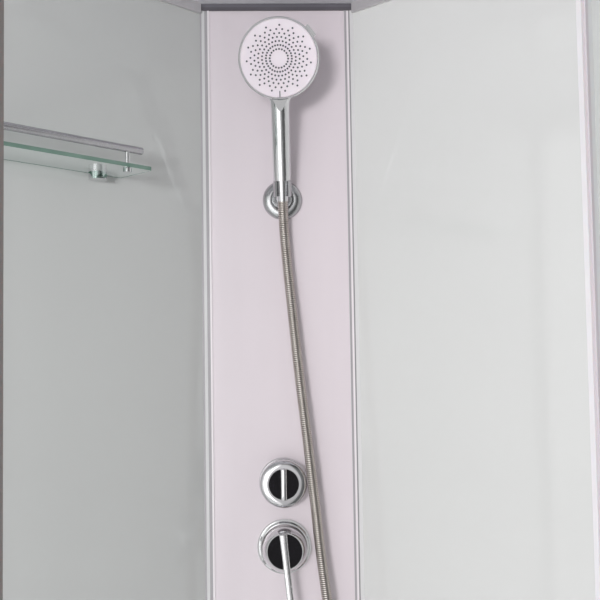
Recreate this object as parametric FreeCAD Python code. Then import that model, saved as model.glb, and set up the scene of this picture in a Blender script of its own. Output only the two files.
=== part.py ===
import FreeCAD, Part
import math
import os

Vector = FreeCAD.Vector

# Driving dimensions of the cabin
half_side = 450.0
front_radius = 550.0
cabin_height = 2150.0
tray_height = 150.0
roof_height = 55.0
frame_inset = 8.0
glass_thickness = 5.0
front_glass_thickness = 6.0

# Clearances and cutting allowance
overrun = 2.0
body_gap = 0.3
running_gap = 0.05
glass_play = 0.2
point_tolerance = 0.001

# Tray
rim_thickness = 5.0
lip_height = 40.0
lip_thickness = 5.0
wall_rim = 50.0
front_rim = 80.0
column_rim = 28.0
bowl_depth = 55.0
bowl_wall = 5.0
bowl_corner_radius = 40.0
drain_offset = 170.0
drain_hole_radius = 45.0

# Front apron
apron_thickness = 4.0
apron_ground_gap = 8.0
apron_end_gap = 12.0

# Bearers and feet
bearer_size = 30.0
bearer_wall = 2.0
bearer_end_gap = 35.0
bearer_row_shares = (0.86, -0.04, -0.73)
foot_inset = 40.0
foot_rod_radius = 6.0
foot_rod_play = 0.1
foot_rod_rise = 18.0
foot_pad_radius = 24.0
foot_pad_base = 6.0
foot_pad_height = 14.0
foot_boss_radius = 11.0
foot_nut_radius = 10.4
foot_nut_height = 8.0

# Waste trap and its lift-out cover
trap_depth = 60.0
trap_wall = 4.0
trap_bore_radius = 40.0
trap_shoulder_radius = 52.0
trap_shoulder_height = 7.0
flange_radius = 57.0
flange_thickness = 3.0
flange_sleeve_wall = 4.4
outlet_pipe_radius = 20.0
outlet_pipe_wall = 3.0
outlet_pipe_reach = 125.0
outlet_pipe_rise = 25.0
outlet_pipe_stop_radius = 24.0
outlet_pipe_stop_reach = 6.0
cover_radius = 56.0
cover_thickness = 4.0
cover_crown = 2.5
cover_crown_radius = 12.0
cover_stand = 5.0
cover_stud_radius = 3.0
cover_stud_circle = 46.0
cover_stud_count = 4
strainer_radius = 32.0
strainer_wall = 2.0
strainer_height = 26.0

# Wall glass, its channels and the corner posts
channel_flange = 5.0
channel_height = 16.0
channel_web = 4.0
channel_column_gap = 3.5
post_size = 30.0
post_slot_depth = 8.0
post_bore_inset = 3.0
glass_behind_trim = 15.0

# Column in the back corner
column_face_width = 210.0
column_trim_width = 12.5
column_sheet = 3.0
column_return = 12.0
trim_proud = 2.0
trim_lip = 3.0
trim_groove_depth = 1.4
column_cap_height = 11.0
column_cap_depth = 7.0

# Curved front: rails, fixed glass and door leaves
rail_width = 30.0
bottom_rail_height = 32.0
bottom_slot_depth = 20.0
top_rail_height = 45.0
top_slot_depth = 12.0
slot_outer_wall = 12.0
leaf_gap = 35.0
leaf_bottom_gap = 6.0
leaf_top_gap = 11.0
fixed_glass_edge_angle = 28.0
door_rest_angle = 26.5
door_leaf_angle = 29.0
track_gap = 4.0
track_thickness = 3.0
track_rise = 6.0
track_lip_thickness = 1.5
track_lip_height = 4.0
guide_lip_gap = 6.0
guide_lip_rise = 24.0

# Door seals and handles
seal_nose_length = 3.0
seal_nose_thickness = 5.0
seal_web = 1.5
seal_overlap = 5.0
seal_wall = 1.2
handle_post_gap = 0.2
handle_from_edge = 27.0
handle_height = 930.0
handle_length = 260.0
handle_radius = 5.0
handle_post_radius = 4.5
handle_post_share = 0.42
handle_stand = 20.0
handle_hole_radius = 6.0
handle_collar_radius = 9.0
handle_collar_thickness = 2.5

# Rollers, hubs and guides
roller_radius = 11.0
roller_width = 7.0
roller_axle_radius = 3.0
roller_groove_depth = 1.5
roller_clearance = 7.0
hub_front_angle = 3.5
hub_rear_angle = 16.0
hub_cap_radius = 12.0
hub_cap_thickness = 8.0
hub_pin_radius = 4.0
hub_hole_radius = 6.0
hub_shoulder_radius = 7.0
hub_end_radius = 5.0
hub_end_thickness = 1.5
roller_side_play = 0.5
guide_width = 16.0
guide_finger = 4.0
guide_reach = 14.0
guide_web = 3.5

# Roof
roof_sheet = 4.0
roof_skirt_drop = 20.0
roof_screw_count = 7
roof_screw_radius = 2.0
roof_screw_head_radius = 4.5
roof_screw_head_height = 2.5
roof_screw_length = 14.0
roof_pipe_hole_radius = 9.0

# Overhead spray
rain_distance = 330.0
rain_radius = 100.0
rain_thickness = 8.0
rain_shoulder_radius = 25.0
rain_shoulder_height = 4.0
rain_neck_radius = 10.0
rain_neck_height = 20.0
rain_nut_radius = 16.0
rain_nut_height = 8.0

# Glass shelf on the left wall
shelf_start = 156.0
shelf_length = 350.0
shelf_depth = 73.0
shelf_below_top = 343.5
shelf_thickness = 5.4
shelf_wall_gap = 1.0
shelf_corner_radius = 3.0
shelf_rail_offset = 66.0
shelf_rail_rise = 20.8
shelf_rail_radius = 5.1
shelf_rail_bore = 4.0
shelf_rail_inset = 13.0
shelf_post_inset = 37.0
shelf_post_radius = 3.1
shelf_stud_radius = 2.5
shelf_nut_radius = 5.8
shelf_nut_height = 6.0
shelf_support_inset = 48.0
shelf_support_offset = 13.5
shelf_support_radius = 12.5
shelf_support_height = 10.0
shelf_support_stub_radius = 5.0
shelf_support_pin_radius = 4.0
shelf_support_cap_radius = 7.0
shelf_support_cap_height = 3.0
shelf_hole_play = 0.3

# Valve body behind the column, with the mixer and the diverter
mixer_above_outlet = 180.0
diverter_above_mixer = 96.0
valve_depth = 34.0
valve_spine_radius = 17.0
valve_spine_end = 42.0
mixer_neck_radius = 19.0
mixer_neck_front = 18.0
diverter_neck_radius = 12.0
diverter_neck_front = 20.0
valve_flange_thickness = 4.0
mixer_flange_radius = 27.0
diverter_flange_radius = 22.0
mixer_hole_radius = 23.0
diverter_hole_radius = 16.0
inlet_spacing = 90.0
inlet_arm_radius = 13.0
inlet_drop = 18.0
inlet_thread_radius = 10.48
inlet_thread_length = 16.0
feed_pipe_radius = 7.5
feed_pipe_wall = 1.0
feed_bend_radius = 15.0
overhead_pipe_rise = 38.0

# Mixer trim: stepped ring, spindle, domed handle, black insert, lever
mixer_ring_radius = 40.5
mixer_ring_step = 2.2
mixer_ring_heights = (4.0, 9.0, 12.0)
mixer_ring_bore = 34.3
dome_radius = 33.0
dome_wall = 3.5
dome_centre = 29.0
dome_back = 18.0
dome_face = 48.0
dome_floor = 42.0
insert_depth = 2.5
insert_thickness = 2.4
insert_radius = 25.5
insert_play = 0.1
spindle_radius = 15.0
spindle_front = 23.5
spindle_ear_inner = 5.4
spindle_ear_outer = 9.4
spindle_ear_half_height = 5.0
spindle_ear_front = 33.5
spindle_pin_radius = 2.0
handle_boss_radius = 5.0
lever_turn = 5.7
lever_above = 26.5
lever_below = 100.0
lever_top_width = 12.0
lever_tip_width = 9.0
lever_thickness = 6.0
lever_tip_forward = 9.0

# Diverter trim
diverter_ring_radius = 37.0
diverter_ring_height = 5.0
knob_base_radius = 35.5
knob_shoulder_radius = 33.0
knob_shoulder_height = 18.0
knob_face_radius = 24.5
knob_face_height = 34.0
knob_recess_radius = 22.6
knob_recess_depth = 2.5
knob_insert_thickness = 2.2
knob_bore_radius = 12.4
knob_bore_depth = 20.5
bar_width = 9.0
bar_height = 40.0
bar_radius = 23.8

# Hose outlet elbow
outlet_below_handset = 714.0
outlet_rose_radius = 24.0
outlet_rose_thickness = 5.0
outlet_tail_radius = 9.5
outlet_tail_depth = 14.0
outlet_hole_radius = 10.5
outlet_stub_radius = 10.0
outlet_reach = 38.0
outlet_drop = 16.0
outlet_thread_radius = 8.0
outlet_thread_length = 8.0
outlet_nut_radius = 11.0
outlet_nut_tip_radius = 8.4
outlet_nut_length = 30.0
outlet_nut_collar = 12.0

# Hand shower: its axis leans out from the column by handset_tilt
handset_side = 4.6
handset_out = 33.0
handset_below_top = 356.0
handset_tilt = 19.0
handset_lean = -1.2
nut_bottom = -14.0
nut_top = 17.6
nut_bottom_radius = 8.4
nut_top_radius = 9.6
nipple_radius = 7.6
nipple_bore = 5.0
nipple_length = 12.0
nipple_play = 0.1
handle_profile = ((17.6, 13.4), (36.0, 13.5), (54.0, 13.6), (72.0, 13.65), (90.0, 13.7), (106.0, 13.75),
                  (118.0, 13.9), (127.0, 14.4), (134.0, 15.8), (140.0, 18.2), (146.0, 20.4), (152.0, 22.0))
neck_slope_low = 118.0
neck_slope_high = 130.0
neck_slope_out = 14.2
handle_bore = 7.0
head_height = 195.0
head_radius = 58.6
head_back = -12.0
head_back_mid_radius = 40.0
head_back_mid = -8.5
head_wall = 4.0
head_rim = 5.5
collar_radius = 55.8
collar_bore = 52.4
collar_front = 8.0
face_radius = 55.7
face_front = 12.5
face_edge = 1.0
selector_bore = 56.1
selector_back = 5.8
selector_front = 12.8
selector_chamfer = 1.2
tab_angle = 39.0
tab_length = 19.0
tab_height = 4.0
tab_thickness = 6.0
nozzle_radius = 1.4
nozzle_height = 0.8
nozzle_sink = 0.5
nozzle_turn = 2.4
nozzle_rows = ((13.3, 20), (18.8, 30), (24.5, 30), (30.1, 30), (35.4, 30), (41.0, 30), (46.6, 15))
pointer_width = 1.3
pointer_height = 0.5
pointer_on_face = 9.0
pointer_on_neck = 14.0
pointer_crest = 14.3

# Wall holder for the hand shower
rose_side = 5.0
rose_below_handset = 8.0
rose_radius = 30.3
rose_edge = 2.0
rose_dome = 8.0
rose_dome_radius = 14.0
holder_boss_radius = 9.0
cup_bottom = -7.0
cup_top = 16.0
cup_radius = 13.6
cup_slot = 16.4

# Shower hose: its line hangs from the hand shower's nut down, round and up to the outlet nut;
# each point is to the side, out from the column and above the hand shower's origin
hose_radius = 7.75
hose_bore = 4.5
hose_lead = 30.0
hose_route = (
    (9.4, 18.2, -100.0),
    (15.2, 21.5, -162.0),
    (24.2, 26.6, -264.0),
    (35.8, 30.6, -370.0),
    (45.6, 33.4, -462.0),
    (52.6, 34.6, -538.0),
    (61.8, 36.8, -612.0),
    (73.4, 38.0, -714.0),
    (84.0, 38.8, -832.0),
    (89.5, 40.2, -938.0),
    (89.0, 41.6, -1018.0),
    (67.4, 43.0, -1058.7),
    (27.5, 44.4, -1083.6),
    (-18.5, 44.0, -1085.2),
    (-61.0, 43.0, -1062.5),
    (-85.6, 42.0, -1021.6),
    (-84.8, 41.0, -964.0),
    (-63.7, 40.0, -909.3),
    (-33.7, 39.0, -864.2),
    (-8.7, 38.2, -822.9),
    (0.0, 38.0, -788.0),
)

# Places worked out from the driving dimensions
ceiling = cabin_height - roof_height
shelf_top = cabin_height - shelf_below_top
handset_height = cabin_height - handset_below_top
rose_height = handset_height - rose_below_handset
outlet_height = handset_height - outlet_below_handset
mixer_height = outlet_height + mixer_above_outlet
diverter_height = mixer_height + diverter_above_mixer
arc_x = half_side - front_radius
arc_y = front_radius - half_side
straight_front = 2 * half_side - front_radius
wall_inset = frame_inset + channel_flange + glass_thickness
wall_face = half_side - wall_inset
half_column = column_face_width / 2 + column_trim_width
column_shift = half_column / math.sqrt(2)
column_x = column_shift - wall_face
column_y = wall_face - column_shift
trim_reach = half_column * math.sqrt(2)
post_face = half_side - frame_inset - post_size
rail_outer = front_radius - frame_inset
rail_inner = rail_outer - rail_width
fixed_outer = rail_outer - slot_outer_wall
fixed_inner = fixed_outer - front_glass_thickness
leaf_outer = fixed_inner - leaf_gap
leaf_inner = leaf_outer - front_glass_thickness
leaf_low = tray_height + leaf_bottom_gap
leaf_high = ceiling - leaf_top_gap
top_rail_low = ceiling - top_rail_height
track_top = top_rail_low + track_rise + track_thickness
roller_axis = track_top + roller_radius + body_gap
roller_inner = leaf_outer + roller_clearance
guide_lip_low = tray_height + guide_lip_rise
bowl_floor = tray_height - bowl_depth
tray_underside = bowl_floor - bowl_wall
shelf_low = shelf_top - shelf_thickness
leaf_middle = (leaf_outer + leaf_inner) / 2
leaf_start = door_rest_angle + math.degrees((seal_nose_length + seal_web) / leaf_outer)


def closed_wire(items):
    """A closed line through the points; a pair of points is an arc through the first to the second."""
    here = items[0]
    edges = []
    for item in items[1:]:
        if isinstance(item, tuple):
            middle, end = item
            edges.append(Part.Arc(here, middle, end).toShape())
        else:
            end = item
            edges.append(Part.makeLine(here, end))
        here = end
    if here != items[0]:
        edges.append(Part.makeLine(here, items[0]))
    return Part.Wire(edges)


def rounded_face(corners, height=0.0):
    """A flat outline whose corners are (x, y, radius); a radius of zero leaves the corner sharp."""
    spots = [Vector(x, y, height) for x, y, radius in corners]
    starts = []
    ends = []
    arcs = []
    for index, (x, y, radius) in enumerate(corners):
        here = spots[index]
        back = (spots[index - 1] - here).normalize()
        ahead = (spots[(index + 1) % len(spots)] - here).normalize()
        half_angle = back.getAngle(ahead) / 2
        reach = radius / math.tan(half_angle)
        middle_way = (back + ahead).normalize()
        centre = here + middle_way * (radius / math.sin(half_angle))
        starts.append(here + back * reach)
        ends.append(here + ahead * reach)
        if radius > 0:
            arcs.append(Part.Arc(starts[-1], centre - middle_way * radius, ends[-1]).toShape())
        else:
            arcs.append(None)
    edges = []
    for index, arc in enumerate(arcs):
        if arc:
            edges.append(arc)
        following = starts[(index + 1) % len(starts)]
        if not ends[index].isEqual(following, point_tolerance):
            edges.append(Part.makeLine(ends[index], following))
    return Part.Face(Part.Wire(edges))


def block(low, high):
    return Part.makeBox(high[0] - low[0], high[1] - low[1], high[2] - low[2], Vector(*low))


def rod(radius, start, end):
    start = Vector(*start)
    end = Vector(*end)
    return Part.makeCylinder(radius, (end - start).Length, start, end - start)


def ring(outer, inner, start, end):
    return rod(outer, start, end).cut(rod(inner, start, end))


def standing_prism(points, low, high):
    face = Part.Face(closed_wire([Vector(x, y, low) for x, y in points]))
    return face.extrude(Vector(0, 0, high - low))


def upright_turned(items):
    """A turned piece about the Z axis; the outline is in (radius, height), arcs as pairs."""
    points = [tuple(Vector(r, 0, z) for r, z in item) if isinstance(item[0], tuple)
              else Vector(item[0], 0, item[1]) for item in items]
    return Part.Face(closed_wire(points)).revolve(Vector(0, 0, 0), Vector(0, 0, 1), 360)


def facing_turned(items):
    """A turned piece about the axis that points out of the column; the outline is in (radius, out)."""
    points = [tuple(Vector(r, -out, 0) for r, out in item) if isinstance(item[0], tuple)
              else Vector(item[0], -item[1], 0) for item in items]
    return Part.Face(closed_wire(points)).revolve(Vector(0, 0, 0), Vector(0, 1, 0), 360)


def mirrored(shape):
    """The same piece on the other side of the cabin's diagonal."""
    return shape.mirror(Vector(0, 0, 0), Vector(1, 1, 0))


def at_column(shape):
    """From the column's own frame (X right, -Y out of the face, Z up) to the cabin's."""
    placed = shape.copy()
    placed.rotate(Vector(0, 0, 0), Vector(0, 0, 1), 45)
    placed.translate(Vector(column_x, column_y, 0))
    return placed


def at_front(shape, angle):
    """From a frame at the front arc's centre (X outwards) to the cabin's, turned from the diagonal."""
    placed = shape.copy()
    placed.rotate(Vector(0, 0, 0), Vector(0, 0, 1), angle - 45)
    placed.translate(Vector(arc_x, arc_y, 0))
    return placed


def front_sector(inner, outer, low, high, from_angle, to_angle):
    corners = [Vector(inner, 0, low), Vector(outer, 0, low), Vector(outer, 0, high), Vector(inner, 0, high)]
    face = Part.Face(closed_wire(corners))
    return at_front(face.revolve(Vector(0, 0, 0), Vector(0, 0, 1), to_angle - from_angle), from_angle)


def front_run(section, straight_length):
    """A section in (radius, height) along the front: the quarter arc and both straight ends."""
    face = Part.Face(closed_wire([Vector(r, 0, z) for r, z in section]))
    arc = at_front(face.revolve(Vector(0, 0, 0), Vector(0, 0, 1), 90), -45)
    face = at_front(face, 45)
    straight = face.extrude(Vector(0, straight_length, 0))
    return arc.fuse([straight, mirrored(straight)]).removeSplitter()


def along_pipe(points, bend, radius, wall):
    """A pipe with equal bends at the inner points of its line."""
    def swept(section_radius):
        edges = []
        here = points[0]
        for index in range(1, len(points) - 1):
            corner = points[index]
            back = (points[index - 1] - corner).normalize()
            ahead = (points[index + 1] - corner).normalize()
            half_angle = back.getAngle(ahead) / 2
            reach = bend / math.tan(half_angle)
            middle_way = (back + ahead).normalize()
            centre = corner + middle_way * (bend / math.sin(half_angle))
            start = corner + back * reach
            end = corner + ahead * reach
            edges.append(Part.makeLine(here, start))
            edges.append(Part.Arc(start, centre - middle_way * bend, end).toShape())
            here = end
        edges.append(Part.makeLine(here, points[-1]))
        section = Part.Wire(Part.makeCircle(section_radius, points[0], points[1] - points[0]))
        return Part.Wire(edges).makePipeShell([section], True, False)
    return swept(radius).cut(swept(radius - wall))


def square_outline(inset):
    """The tray's outline: a square whose front corner is rounded."""
    side = half_side - inset
    return [(-side, side, 0), (side, side, 0), (side, -side, front_radius - inset), (-side, -side, 0)]


def bowl_outline(grow):
    """The bowl's outline, with the back corner cut off in front of the column."""
    side = half_side - wall_rim + grow
    front_side = half_side - front_rim + grow
    corner = bowl_corner_radius + grow
    diagonal = half_column - wall_face * math.sqrt(2) + column_rim - grow
    cut = diagonal * math.sqrt(2)
    return [(-side, -side - cut, corner), (side + cut, side, corner), (front_side, side, corner),
            (front_side, -front_side, front_radius - front_rim + grow), (-side, -front_side, corner)]


def front_reach(y, inset):
    """How far to the right the cabin reaches at y, less the inset."""
    if y >= arc_y:
        return half_side - inset
    return arc_x + math.sqrt((front_radius - inset) ** 2 - (y - arc_y) ** 2)


def make_tray():
    rim = rounded_face(square_outline(0), tray_height - rim_thickness).extrude(Vector(0, 0, rim_thickness))
    lip_low = tray_height - lip_height
    lip = rounded_face(square_outline(0), lip_low).extrude(Vector(0, 0, lip_height))
    lip_core = rounded_face(square_outline(lip_thickness), lip_low - overrun)
    lip = lip.cut(lip_core.extrude(Vector(0, 0, lip_height + 2 * overrun)))
    tub = rounded_face(bowl_outline(bowl_wall), tray_underside)
    tub = tub.extrude(Vector(0, 0, tray_height - tray_underside))
    bowl = rounded_face(bowl_outline(0), bowl_floor).extrude(Vector(0, 0, bowl_depth + overrun))
    drain = rod(drain_hole_radius, (-drain_offset, drain_offset, tray_underside - overrun),
                (-drain_offset, drain_offset, bowl_floor + overrun))
    return rim.fuse([lip, tub]).cut([bowl, drain]).removeSplitter()


def make_front_apron():
    outer = front_radius - lip_thickness
    section = [(outer - apron_thickness, apron_ground_gap), (outer, apron_ground_gap),
               (outer, tray_height - rim_thickness), (outer - apron_thickness, tray_height - rim_thickness)]
    return front_run(section, straight_front - apron_end_gap)


def bearer_lines():
    """For each bearer its y, left end and right end."""
    lines = []
    for share in bearer_row_shares:
        y = share * half_side
        lines.append((y, bearer_end_gap - half_side, front_reach(y, bearer_end_gap)))
    return lines


def foot_spots():
    spots = []
    for y, left, right in bearer_lines():
        spots.append((left + foot_inset, y))
        spots.append((right - foot_inset, y))
    return spots


def make_bearers():
    high = tray_underside
    low = high - bearer_size
    half = bearer_size / 2
    inner = half - bearer_wall
    holes = [rod(foot_rod_radius + foot_rod_play, (x, y, low - overrun), (x, y, low + bearer_wall + overrun))
             for x, y in foot_spots()]
    bearers = []
    for y, left, right in bearer_lines():
        tube = block((left, y - half, low), (right, y + half, high))
        bore = block((left - overrun, y - inner, low + bearer_wall),
                     (right + overrun, y + inner, high - bearer_wall))
        bearers.append(tube.cut([bore] + holes))
    return Part.makeCompound(bearers)


def make_foot_rods():
    underside = tray_underside - bearer_size
    pieces = []
    for x, y in foot_spots():
        pieces.append(rod(foot_rod_radius, (x, y, foot_pad_base), (x, y, underside + foot_rod_rise)))
        corners = [(x + foot_nut_radius * math.cos(math.radians(60 * k)),
                    y + foot_nut_radius * math.sin(math.radians(60 * k))) for k in range(6)]
        nut = standing_prism(corners, underside - foot_nut_height, underside)
        pieces.append(nut.cut(rod(foot_rod_radius + foot_rod_play, (x, y, 0), (x, y, tray_height))))
    return Part.makeCompound(pieces)


def make_foot_pads():
    socket = foot_rod_radius + foot_rod_play
    outline = [(0, 0), (foot_pad_radius, 0), (foot_pad_radius, foot_pad_base / 2),
               (foot_boss_radius, foot_pad_height), (socket, foot_pad_height), (socket, foot_pad_base),
               (0, foot_pad_base)]
    pads = []
    for x, y in foot_spots():
        pad = upright_turned(outline)
        pad.translate(Vector(x, y, 0))
        pads.append(pad)
    return Part.makeCompound(pads)


def at_drain(shape):
    shape.translate(Vector(-drain_offset, drain_offset, 0))
    return shape


def make_waste_trap():
    low = tray_underside - trap_depth
    shoulder = tray_underside - trap_shoulder_height
    wide = drain_hole_radius
    wall_radius = trap_bore_radius + trap_wall
    pipe_axis = low + outlet_pipe_rise
    cup = upright_turned([(0, low), (wall_radius, low), (wall_radius, shoulder - trap_wall),
                          (trap_shoulder_radius, shoulder), (trap_shoulder_radius, tray_underside),
                          (wide, tray_underside), (wide, shoulder), (trap_bore_radius, shoulder),
                          (trap_bore_radius, low + trap_wall), (0, low + trap_wall)])
    pipe = rod(outlet_pipe_radius, (-trap_bore_radius, 0, pipe_axis), (-outlet_pipe_reach, 0, pipe_axis))
    stop = rod(outlet_pipe_stop_radius, (-trap_bore_radius, 0, pipe_axis),
               (-wall_radius - outlet_pipe_stop_reach, 0, pipe_axis))
    hollow = upright_turned([(0, low + trap_wall), (trap_bore_radius, low + trap_wall),
                             (trap_bore_radius, tray_underside + overrun), (0, tray_underside + overrun)])
    bore = rod(outlet_pipe_radius - outlet_pipe_wall, (0, 0, pipe_axis),
               (-outlet_pipe_reach - overrun, 0, pipe_axis))
    return at_drain(cup.fuse([pipe, stop]).cut([hollow, bore]).removeSplitter())


def make_waste_flange():
    top = bowl_floor + flange_thickness
    sleeve = drain_hole_radius - glass_play
    inner = sleeve - flange_sleeve_wall
    low = tray_underside - trap_shoulder_height
    return at_drain(upright_turned([(inner, low), (sleeve, low), (sleeve, bowl_floor),
                                    (flange_radius, bowl_floor), (flange_radius, top), (inner, top)]))


def make_waste_cover():
    seat = bowl_floor + flange_thickness + body_gap
    low = seat + cover_stand
    high = low + cover_thickness
    cap = upright_turned([(0, low), (cover_radius, low), (cover_radius, high - cover_thickness / 2),
                          (cover_crown_radius, high + cover_crown), (0, high + cover_crown)])
    basket = upright_turned([(strainer_radius - strainer_wall, low - strainer_height),
                             (strainer_radius, low - strainer_height), (strainer_radius, low),
                             (strainer_radius - strainer_wall, low)])
    studs = []
    for index in range(cover_stud_count):
        angle = 2 * math.pi * index / cover_stud_count
        x = cover_stud_circle * math.cos(angle)
        y = cover_stud_circle * math.sin(angle)
        studs.append(rod(cover_stud_radius, (x, y, seat), (x, y, low)))
    return at_drain(cap.fuse([basket] + studs).removeSplitter())


def make_wall_glass():
    """The right wall's glass; the left one is its mirror image."""
    start = trim_reach - glass_behind_trim - wall_face
    end = post_face + post_slot_depth
    return block((start, wall_face, tray_height + channel_web),
                 (end, wall_face + glass_thickness, ceiling - channel_web))


def make_wall_channels():
    start = trim_reach + channel_column_gap - wall_face
    inner = wall_face - channel_flange
    outer = wall_face + glass_thickness + channel_flange
    low = block((start, inner, tray_height), (post_face, outer, tray_height + channel_height))
    high = block((start, inner, ceiling - channel_height), (post_face, outer, ceiling))
    slot = block((start - overrun, wall_face, tray_height + channel_web),
                 (post_face + overrun, wall_face + glass_thickness, ceiling - channel_web))
    right = [low.cut(slot), high.cut(slot)]
    return Part.makeCompound(right + [mirrored(piece) for piece in right])


def make_corner_post():
    outer = half_side - frame_inset
    post = block((post_face, post_face, tray_height), (outer, outer, ceiling))
    wall_slot = block((post_face - overrun, wall_face, tray_height - overrun),
                      (post_face + post_slot_depth, wall_face + glass_thickness, ceiling + overrun))
    glass_low = arc_x + fixed_inner - glass_play
    glass_high = arc_x + fixed_outer + glass_play
    front_slot = block((glass_low, post_face - overrun, tray_height - overrun),
                       (glass_high, post_face + post_slot_depth, ceiling + overrun))
    bore_low = post_face + post_slot_depth + post_bore_inset
    bore = block((bore_low, bore_low, tray_height - overrun),
                 (outer - post_bore_inset, outer - post_bore_inset, ceiling + overrun))
    return post.cut([wall_slot, front_slot, bore])


def make_column_panel():
    half = column_face_width / 2
    top = ceiling - column_cap_height
    face = block((-half, 0, tray_height), (half, column_sheet, top))
    left = block((-half, 0, tray_height), (column_sheet - half, column_return, top))
    right = block((half - column_sheet, 0, tray_height), (half, column_return, top))
    holes = [rod(radius, (0, -overrun, height), (0, column_sheet + overrun, height))
             for radius, height in ((mixer_hole_radius, mixer_height),
                                    (diverter_hole_radius, diverter_height),
                                    (outlet_hole_radius, outlet_height))]
    return at_column(face.fuse([left, right]).cut(holes).removeSplitter())


def make_column_trim():
    """The right trim: a grooved strip that backs onto the wall glass."""
    inner = column_face_width / 2
    outer = half_column + trim_proud
    points = [(inner, -trim_proud), (inner + trim_lip, -trim_proud),
              (inner + trim_lip, trim_groove_depth - trim_proud),
              (outer - trim_lip - trim_proud, trim_groove_depth - trim_proud),
              (outer - trim_lip - trim_proud, -trim_proud), (outer, -trim_proud), (inner, column_trim_width)]
    return at_column(standing_prism(points, tray_height, ceiling - column_cap_height))


def make_column_cap():
    front = half_column + trim_proud
    back = half_column - column_cap_depth + trim_proud
    points = [(-front, -trim_proud), (front, -trim_proud), (back, column_cap_depth - trim_proud),
              (-back, column_cap_depth - trim_proud)]
    return at_column(standing_prism(points, ceiling - column_cap_height, ceiling))


def make_fixed_glass():
    """The right front panel: straight from the post, then bent along the arc to its free edge."""
    low = tray_height + bottom_rail_height - bottom_slot_depth
    high = top_rail_low + top_slot_depth
    bent = front_sector(fixed_inner, fixed_outer, low, high, fixed_glass_edge_angle, 45)
    flat = block((arc_x + fixed_inner, arc_y, low),
                 (arc_x + fixed_outer, post_face + post_slot_depth, high))
    return bent.fuse(flat).removeSplitter()


def make_bottom_rail():
    low = tray_height
    high = tray_height + bottom_rail_height
    slot_low = high - bottom_slot_depth
    lip_edge = leaf_outer + guide_lip_gap
    lip_high = guide_lip_low + track_thickness
    section = [(rail_inner, low), (rail_outer, low), (rail_outer, high), (fixed_outer + glass_play, high),
               (fixed_outer + glass_play, slot_low), (fixed_inner - glass_play, slot_low),
               (fixed_inner - glass_play, high), (rail_inner, high), (rail_inner, lip_high),
               (lip_edge, lip_high), (lip_edge, guide_lip_low), (rail_inner, guide_lip_low)]
    return front_run(section, post_face - arc_y)


def make_top_rail():
    low = top_rail_low
    slot_high = low + top_slot_depth
    lip_edge = leaf_outer + track_gap
    track_low = track_top - track_thickness
    section = [(rail_inner, low), (fixed_inner - glass_play, low), (fixed_inner - glass_play, slot_high),
               (fixed_outer + glass_play, slot_high), (fixed_outer + glass_play, low), (rail_outer, low),
               (rail_outer, ceiling), (rail_inner, ceiling), (rail_inner, track_top),
               (lip_edge + track_lip_thickness, track_top),
               (lip_edge + track_lip_thickness, track_top + track_lip_height),
               (lip_edge, track_top + track_lip_height), (lip_edge, track_low), (rail_inner, track_low)]
    rail = front_run(section, post_face - arc_y)
    return rail.cut([rod(roof_screw_radius, (x, y, ceiling - roof_screw_length), (x, y, ceiling + overrun))
                     for x, y in roof_screw_spots()])


def hub_spots():
    """Angle of each hub from the diagonal, with the doors where the photograph has them."""
    return [leaf_start + hub_front_angle, leaf_start + hub_rear_angle]


def handle_angle():
    return leaf_start + math.degrees(handle_from_edge / leaf_outer)


def handle_post_heights():
    middle = handle_height + handle_length / 2
    reach = handle_length * handle_post_share
    return [middle - reach, middle + reach]


def guide_height():
    return guide_lip_low + track_thickness / 2


def make_door_glass():
    leaf = front_sector(leaf_inner, leaf_outer, leaf_low, leaf_high, leaf_start, leaf_start + door_leaf_angle)
    holes = []
    for angle in hub_spots():
        for height in (roller_axis, guide_height()):
            hole = rod(hub_hole_radius, (leaf_inner - overrun, 0, height), (leaf_outer + overrun, 0, height))
            holes.append(at_front(hole, angle))
    for height in handle_post_heights():
        hole = rod(handle_hole_radius, (leaf_inner - overrun, 0, height), (leaf_outer + overrun, 0, height))
        holes.append(at_front(hole, handle_angle()))
    return leaf.cut(holes)


def make_door_seal():
    """A nose that meets the other door's, a web and a channel over the edge of the glass."""
    overlap_angle = math.degrees(seal_overlap / leaf_outer)
    web_start = leaf_start - math.degrees(seal_web / leaf_outer)
    half_nose = seal_nose_thickness / 2
    channel = front_sector(leaf_inner - seal_wall, leaf_outer + seal_wall, leaf_low, leaf_high, web_start,
                           leaf_start + overlap_angle)
    slot = front_sector(leaf_inner, leaf_outer, leaf_low - overrun, leaf_high + overrun, leaf_start,
                        leaf_start + 2 * overlap_angle)
    nose = front_sector(leaf_middle - half_nose, leaf_middle + half_nose, leaf_low, leaf_high,
                        door_rest_angle, web_start)
    return nose.fuse(channel.cut(slot)).removeSplitter()


def make_door_handle():
    """An outer and an inner grip whose posts end close to each other in the glass holes."""
    half_gap = handle_post_gap / 2
    inner_seat = math.sqrt(leaf_inner ** 2 - handle_collar_radius ** 2)
    grips = []
    for axis, post_end, seat, collar in (
            (leaf_outer + handle_stand, leaf_middle + half_gap, leaf_outer, handle_collar_thickness),
            (leaf_inner - handle_stand, leaf_middle - half_gap, inner_seat, -handle_collar_thickness)):
        bar = rod(handle_radius, (axis, 0, handle_height), (axis, 0, handle_height + handle_length))
        pieces = [rod(handle_post_radius, (post_end, 0, z), (axis, 0, z)) for z in handle_post_heights()]
        pieces += [rod(handle_collar_radius, (seat, 0, z), (seat + collar, 0, z))
                   for z in handle_post_heights()]
        grips.append(at_front(bar.fuse(pieces).removeSplitter(), handle_angle()))
    return Part.makeCompound(grips)


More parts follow.
